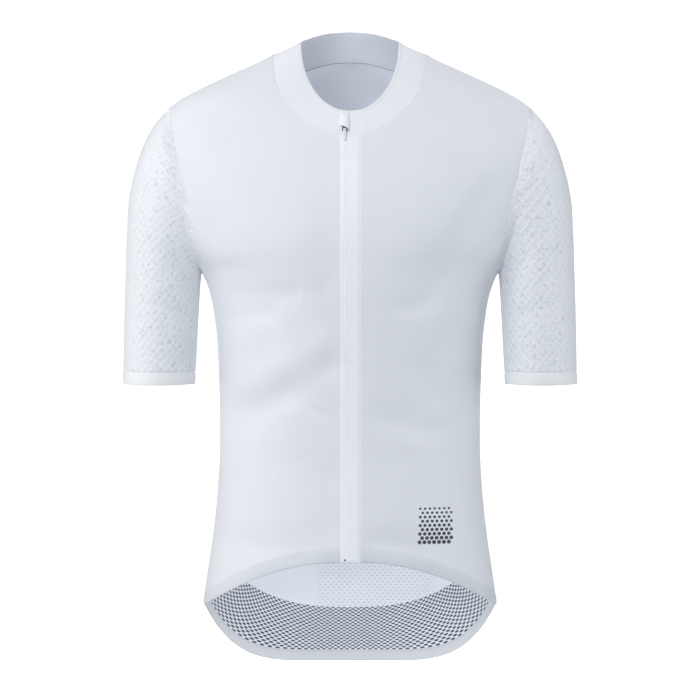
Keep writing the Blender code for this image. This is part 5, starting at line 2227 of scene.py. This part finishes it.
@dataclass
class Zip:
    """The zip: two tapes, the coil behind them, the garage, the slider and its pull tab."""

    fitter: Fitter
    form: CollarForm = CollarForm()
    front_rows: int = 230
    collar_rows: int = 18
    tape_thickness: float = 0.6
    close_columns: tuple[float, ...] = (0.04, 0.3, 0.8, 1.3, 1.55, 1.72, 1.85, 1.98, 2.15, 2.5)
    far_shares: tuple[float, ...] = (0.15, 0.35, 0.55, 0.7, 0.76, 0.82, 0.9, 0.96, 1.0)
    plain_edge: tuple[float, float] = (2.4, 3.6)
    groove_at: float = 1.85
    groove: float = 0.5
    lip: float = 0.45
    lip_width: float = 2.6
    meeting_dip: float = 0.4
    edge_dip: float = 0.12
    chain_end: tuple[float, float] = (541.5, 546.5)
    coil_pitch: float = 1.25
    coil_radius: float = 0.62
    coil_reach: float = 1.35
    coil_share: float = 0.75
    turn_points: int = 9
    wire_radius: float = 0.24
    stop_x: float = -5.4
    stop_drops: tuple[float, float] = (549.0, 550.9)
    stop_radius: float = 0.75
    garage_x: tuple[float, float] = (-10.9, -0.5)
    garage_foot: tuple[float, float] = (0.44, 0.27)
    garage_top: float = 0.98
    garage_steps: tuple[int, int] = (45, 31)
    garage_base: tuple[float, float] = (0.15, 0.75)
    garage_rise: float = 2.61
    garage_sink: float = 0.8
    garage_sink_from: float = 0.6
    garage_powers: tuple[float, float] = (1.4, 3.4)
    foot_roll: float = 0.25
    foot_roll_width: float = 1.4
    garage_length: float = 18.0
    slider_foot_height: float = 0.31
    pull_width: float = 3.2
    pull_length: float = 13.0
    pull_thickness: float = 1.0
    pull_start: float = 1.0
    pull_steps: tuple[int, int, int] = (40, 24, 36)
    waist_depth: float = 0.14
    waist_share: float = 0.55
    tip_length: float = 1.5
    ring_radii: tuple[float, float] = (1.4, 0.8)
    pin_drop: float = 1.8
    pin_lift: float = 2.0
    left_tape_cut: Cut = Cut(0.017, 0.51, 0.0077)
    right_tape_cut: Cut = Cut(0.0115, 0.51, 0.0043)
    garage_cut: Cut = Cut(0.014, 0.026, 0.00026)

    def strip(self, across: Callable[[Array], Array]) -> Shape:
        """A grid down the zip; its upper rows climb the collar and the rest lie on the front.

        Args:
            across: gives the x of each column at the drops of the rows.

        Returns:
            The points and their normals, from the hem up.
        """
        lines, body = self.form.lines, self.form.lines.form
        drop = np.linspace(lines.front_hem_drop, lines.front_neck_drop, self.front_rows + 1)
        place = body.on_front(across(drop), drop[None])
        height = np.linspace(0, 1, self.collar_rows + 1)[1:]
        drop = lines.front_neck_drop * (1 - height) + COLLAR_TOP[0][1] * height
        angle = self.form.angle_of(across(drop), height[None])
        above = self.form.points(angle, height[None])
        above_normals = self.form.normals(angle, height[None])
        points = np.concatenate([body.dressed(place), above], axis=1)
        return points, np.concatenate([body.normals(place), above_normals], axis=1)

    def build(self) -> None:
        """Makes the zip's pieces."""
        for side in Side:
            self.tape(side)
        self.coil()
        self.stop()
        self.garage()
        self.slider()
        self.pull()

    def tape(self, side: Side) -> None:
        """A tape: flat out to the front's edge, with a lip and a sewn groove beside the chain.

        Args:
            side: the wearer's side.
        """
        lines, sign = self.form.lines, side.value
        close = np.array(self.close_columns)[:, None]

        def across(drop: Array) -> Array:
            """How far across the columns lie.

            Args:
                drop: drops of the rows.

            Returns:
                Each column's x at each drop, rising from column to column.
            """
            chain = lines.chain_x(drop)[None]
            reach = lines.zip_half_width - sign * chain
            wide = close[-1] + (reach - close[-1]) * np.array(self.far_shares)[:, None]
            x = chain + sign * np.concatenate([close + 0 * chain, wide])
            return x[::sign]

        points, normals = self.strip(across)
        drops = -points[..., 2]
        away = np.abs(points[..., 0] - lines.chain_x(drops))
        edge = lines.zip_half_width - np.abs(points[..., 0])
        on_collar = np.zeros(away.shape)
        on_collar[:, self.front_rows + 1 :] = 1
        sewn = 1 - eased(drops, *self.chain_end)
        raised = self.lip * bell(away, self.lip_width)
        sunk = self.groove * sewn * bell(away - self.groove_at, 0.2)
        at_edge = self.edge_dip * (1 - on_collar) * bell(edge, 0.8)
        lift = raised - sunk - self.meeting_dip * bell(away, 0.22) - at_edge
        outer = points + normals * lift[..., None]
        plain = (1 - eased(edge, *self.plain_edge)) * (side is Side.LEFT)
        masks = {"on_collar": on_collar, "plain_edge": plain * (1 - on_collar)}
        cloth = ClothGrid(outer, normals, travelled_flat(outer), masks)
        cut = self.left_tape_cut if side is Side.LEFT else self.right_tape_cut
        mesh = cloth.mesh(f"tape_{side.word}", self.tape_thickness, 0.15)
        self.fitter.fit(mesh, ["tape"], "tape", f"zip_tape_{side.word}", cut)

    def coil(self) -> None:
        """The coil behind the tapes: two flattened helices whose turns interleave."""
        points, normals = self.strip(lambda drop: self.form.lines.chain_x(drop)[None])
        path = points[0] - normals[0] * (self.tape_thickness + 0.3 + self.coil_radius)
        run = travel(path)
        turns = run[-1] / self.coil_pitch
        steps = np.linspace(0, 1, int(turns * self.turn_points))
        centre, out = (read_off(steps * run[-1], run, rows) for rows in (path, normals[0]))
        out = unit(out)
        aside = unit(np.cross(unit(np.gradient(centre, axis=0)), out))
        shapes = []
        for sign in (1, -1):
            angle = 2 * math.pi * (steps * turns + (0.5 if sign < 0 else 0.0))
            swing = sign * self.coil_share + self.coil_reach * self.coil_share * np.cos(angle)
            rise = self.coil_radius * np.sin(angle)
            wire = centre + aside * swing[:, None] + out * rise[:, None]
            shapes.append(tube(wire, out, self.wire_radius, self.wire_radius, False, sides=5))
        self.fitter.fit_shape("zip_coil", joined(shapes), "coil", "coil", "zip_chain")

    def stop(self) -> None:
        """The small stop at the foot of the zip: a bead that lies on the tape, near black in the
        film's finish, which is partly its painted shadow.
        """
        body = self.form.lines.form
        place = body.on_front(np.full(9, self.stop_x), np.linspace(*self.stop_drops, 9))
        normals = body.normals(place)
        shape = tube(body.dressed(place) + normals * 0.3, normals, self.stop_radius, 0.5, False)
        # The stop's near-black finish is partly painted shadow.
        self.fitter.fit_shape("zip_stop", shape, "film", "coil")

    def garage(self) -> None:
        """The fold of cloth over the slider: a dome across, with a rolled foot that slants.

        The dome is 1 less a power of the distance from the middle, low on the right side so that it
        melts into the collar, and high on the left one. It sinks to the collar at the top.
        """
        columns = np.linspace(*self.garage_x, self.garage_steps[0])[:, None]
        shares = np.linspace(0, self.garage_top, self.garage_steps[1])[None]
        foot = np.interp(columns, self.garage_x, self.garage_foot)
        height = foot + (1 - foot) * shares
        angle = self.form.angle_of(np.broadcast_to(columns, height.shape), height)
        points = self.form.points(angle, height)
        middle = sum(self.garage_x) / 2
        offset = (columns - middle) / (self.garage_x[1] - middle)
        dome = 1 - np.abs(offset) ** np.where(offset < 0, *self.garage_powers)
        sunk = 1 - self.garage_sink * eased(shares, self.garage_sink_from, self.garage_top)
        base = self.garage_base[0] + self.garage_base[1] * eased(offset, -1.0, -0.7)
        rolled = self.foot_roll * bell(shares * self.garage_length, self.foot_roll_width)
        lift = (base + self.garage_rise * dome) * sunk + rolled
        points = points + grid_normals(points) * lift[..., None]
        normals = grid_normals(points)
        rim = tube(points[:, 0] - normals[:, 0] * 0.3, normals[:, 0], 0.45, 0.4, False, sides=8)
        binding = self.fitter.fit_shape("garage_binding", rim, "plastic", "tape")
        mesh = ClothGrid(points, normals, travelled_flat(points)).mesh("cloth_garage", 0.7)
        self.fitter.fit(mesh, ["collar"], "tape", "zip_garage", self.garage_cut, [binding])

    def slider(self) -> None:
        """The slider stays as its solid, with a dark finish: partly a dark metal, partly the
        painted shadow of the slit under the garage.
        """
        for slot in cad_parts["zip_slider"].material_slots:
            slot.material = self.fitter.material("metal")
        LOG.info("zip_slider keeps its solid")

    def pull_frame(self) -> tuple[Array, Array, Array, Array]:
        """The frame that the pull tab is made in.

        Returns:
            The pin's middle, and the unit vectors across, up the collar and out.
        """
        x = self.form.lines.chain_x(self.form.lines.front_neck_drop)
        heights = np.array([self.slider_foot_height, self.slider_foot_height + 0.1])
        points = self.form.points(self.form.angle_of(np.full(2, float(x)), heights), heights)
        across = np.array([1.0, 0, 0])
        up = points[1] - points[0]
        up = unit(up - across * up[0])
        out = np.cross(across, up)
        return points[0] - up * self.pin_drop + out * self.pin_lift, across, up, out

    def pull(self) -> None:
        """The pull tab: a flat lozenge with rounded edges below a ring on the pin.

        The tab is a superellipse carried along its length: its half width narrows at the tip as a
        quarter circle does. The ring is a rounded rectangle turned about the pin.
        """
        def power(wave: Array, exponent: float) -> Array:
            """A power of a wave's size, with the wave's sign."""
            return np.sign(wave) * np.abs(wave) ** exponent

        origin, across, up, out = self.pull_frame()
        rows, sides, turns = self.pull_steps
        shares = np.linspace(0, 1, rows)[:, None]
        cos, sin = np.cos(circle(sides))[None], np.sin(circle(sides))[None]
        length = self.pull_length - self.pull_start
        tip = np.clip((shares * length - (length - self.tip_length)) / self.tip_length, 0, 1)
        narrowed = np.sin(math.pi * np.clip(shares / self.waist_share, 0, 1)) ** 2
        waist = 1 - self.waist_depth * narrowed
        half = self.pull_width / 2 * np.sqrt(np.clip(1 - tip**2, 0.0004, 1)) * waist
        thin = self.pull_thickness / 2 * np.sqrt(np.clip(1 - (tip * 0.98) ** 4, 0.01, 1))
        side, face = half * power(cos, 0.5), thin * power(sin, 0.5)
        down = -(self.pull_start + shares * length)
        tab = origin + side[..., None] * across + face[..., None] * out + down[..., None] * up
        around = circle(turns)[:, None]
        outside, inside = self.ring_radii
        radius = (outside + inside) / 2 + (outside - inside) / 2 * power(cos, 0.5)
        wide = self.pull_width / 2 * power(sin, 0.35) + 0 * around
        ring = origin + wide[..., None] * across + (radius * np.cos(around))[..., None] * up
        ring = ring + (radius * np.sin(around))[..., None] * out
        shape = joined([lofted(tab, False), lofted(ring[::-1], True)])
        self.fitter.fit_shape("pull_tab", shape, "plastic", "pull", "zip_pull", "zip_pull")


class Lamp(NamedTuple):
    """A square soft light: its place and size in metres, its watts and its colour."""

    name: str
    place: tuple[float, float, float]
    size: float
    watts: float
    colour: Colour


WARM = (1.0, 0.975, 0.95)
NEUTRAL = (0.96, 0.975, 1.0)


@dataclass
class Studio:
    """The pale floor and backdrop, the soft lights and the camera at the photograph's angle.

    Its sizes are metres.
    """

    field_width: float = 0.770
    camera_distance: float = 4.0
    camera_height: float = -0.32505
    sensor: float = 36.0
    clip: tuple[float, float] = (0.1, 60.0)
    floor_height: float = -0.93
    floor_radius: float = 15.0
    dome_radius: float = 20.0
    air: float = 0.29
    air_colour: Colour = (0.88, 0.935, 1.0)
    aim: tuple[float, float, float] = (0.0, 0.0, -0.3)
    lamps: tuple[Lamp, ...] = (
        Lamp("key", (-1.6, -1.8, 2.4), 1.6, 44.0, WARM),
        Lamp("front", (-1.0, -2.4, 0.5), 1.0, 12.0, NEUTRAL),
        Lamp("front_right", (-2.0, -3.1, -0.6), 0.6, 14.0, NEUTRAL),
        Lamp("front_left", (2.0, -3.1, -0.6), 0.6, 11.0, NEUTRAL),
        Lamp("side_right", (-3.0, 0.0, -0.3), 2.0, 30.0, WARM),
        Lamp("side_left", (3.0, 0.0, -0.3), 2.0, 40.0, NEUTRAL),
        Lamp("behind", (0.6, 3.6, 0.3), 2.0, 40.0, NEUTRAL),
    )

    def build(self) -> None:
        """Makes the camera, the surroundings and the lights."""
        self.camera()
        self.surroundings()
        for lamp in self.lamps:
            self.light(lamp)

    def camera(self) -> None:
        """The camera looks straight at the front, level, from far off."""
        data = bpy.data.cameras.new("camera")
        data.sensor_width = self.sensor
        data.lens = self.sensor * self.camera_distance / self.field_width
        data.clip_start, data.clip_end = self.clip
        camera = bpy.data.objects.new("camera", data)
        camera.location = (0.0, -self.camera_distance, self.camera_height)
        camera.rotation_euler = (math.radians(90), 0.0, 0.0)
        bpy.context.scene.collection.objects.link(camera)
        bpy.context.scene.camera = camera

    def surroundings(self) -> None:
        """Even white air, a white dome that only the camera sees, and the floor."""
        scene = bpy.context.scene
        scene.view_settings.view_transform = "Standard"
        scene.world = bpy.data.worlds.new("studio_air")
        scene.world.use_nodes = True
        background = scene.world.node_tree.nodes["Background"]
        background.inputs["Color"].default_value = as_rgba(self.air_colour)
        background.inputs["Strength"].default_value = self.air
        latitude = np.linspace(-math.pi / 2, math.pi / 2, 25)[1:-1, None]
        turned = circle(48)
        rings = stacked(
            np.cos(turned) * np.cos(latitude), np.sin(turned) * np.cos(latitude), np.sin(latitude)
        )
        shape = lofted(rings * self.dome_radius / MM, False)
        dome = self.stage_piece("backdrop", shape, StageFinish("backdrop_white", 0.9, 1.05))
        dome.visible_diffuse = dome.visible_glossy = dome.visible_transmission = False
        dome.visible_shadow = dome.visible_volume_scatter = False
        turned = circle(96)
        disc = stacked(np.cos(turned), np.sin(turned), 0) * self.floor_radius / MM
        disc[:, 2] = self.floor_height / MM
        shape = (disc, np.arange(len(disc))[None])
        floor = self.stage_piece("floor", shape, StageFinish("floor_white", 0.88, 0.9))
        floor.visible_diffuse = False

    def stage_piece(self, name: str, shape: Shape, finish: StageFinish) -> bpy.types.Object:
        """A surface that isn't part of the jersey.

        Args:
            name: the object's name.
            shape: its corners and faces.
            finish: its finish.

        Returns:
            The object.
        """
        mesh = made_mesh(name, *shape)
        mesh.materials.append(finish.make())
        thing = bpy.data.objects.new(name, mesh)
        bpy.context.scene.collection.objects.link(thing)
        thing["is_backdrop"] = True
        return thing

    def light(self, lamp: Lamp) -> None:
        """A light turned towards the chest, unseen by the camera.

        Args:
            lamp: its place, size and colour.
        """
        data = bpy.data.lights.new(lamp.name, "AREA")
        data.shape, data.size = "SQUARE", lamp.size
        data.energy, data.color = lamp.watts, lamp.colour
        thing = bpy.data.objects.new(lamp.name, data)
        thing.location = lamp.place
        x, y, z = np.array(self.aim) - np.array(lamp.place)
        thing.rotation_euler = (math.atan2(math.hypot(x, y), -z), 0.0, math.atan2(-x, y))
        thing.visible_camera = False
        bpy.context.scene.collection.objects.link(thing)


def plain(bounds: Sequence[Sequence[float]]) -> list[list[float]]:
    """Bounds as plain lists of numbers."""
    return [[float(value) for value in corner] for corner in bounds]


def main() -> None:
    """Builds the studio and the jersey."""
    logging.basicConfig(level=logging.INFO, format="%(name)s: %(message)s")
    Studio().build()
    fitter = Fitter()
    for assembly in (Fronts, Back, Sleeves, Collar, Zip):
        assembly(fitter).build()
        LOG.info("%s done", assembly.__name__)
    LOG.info("%d pieces", fitter.count)
    {"cad": plain(CAD_BOUNDS), "visual": plain(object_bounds())}


if __name__ == "__main__":
    main()
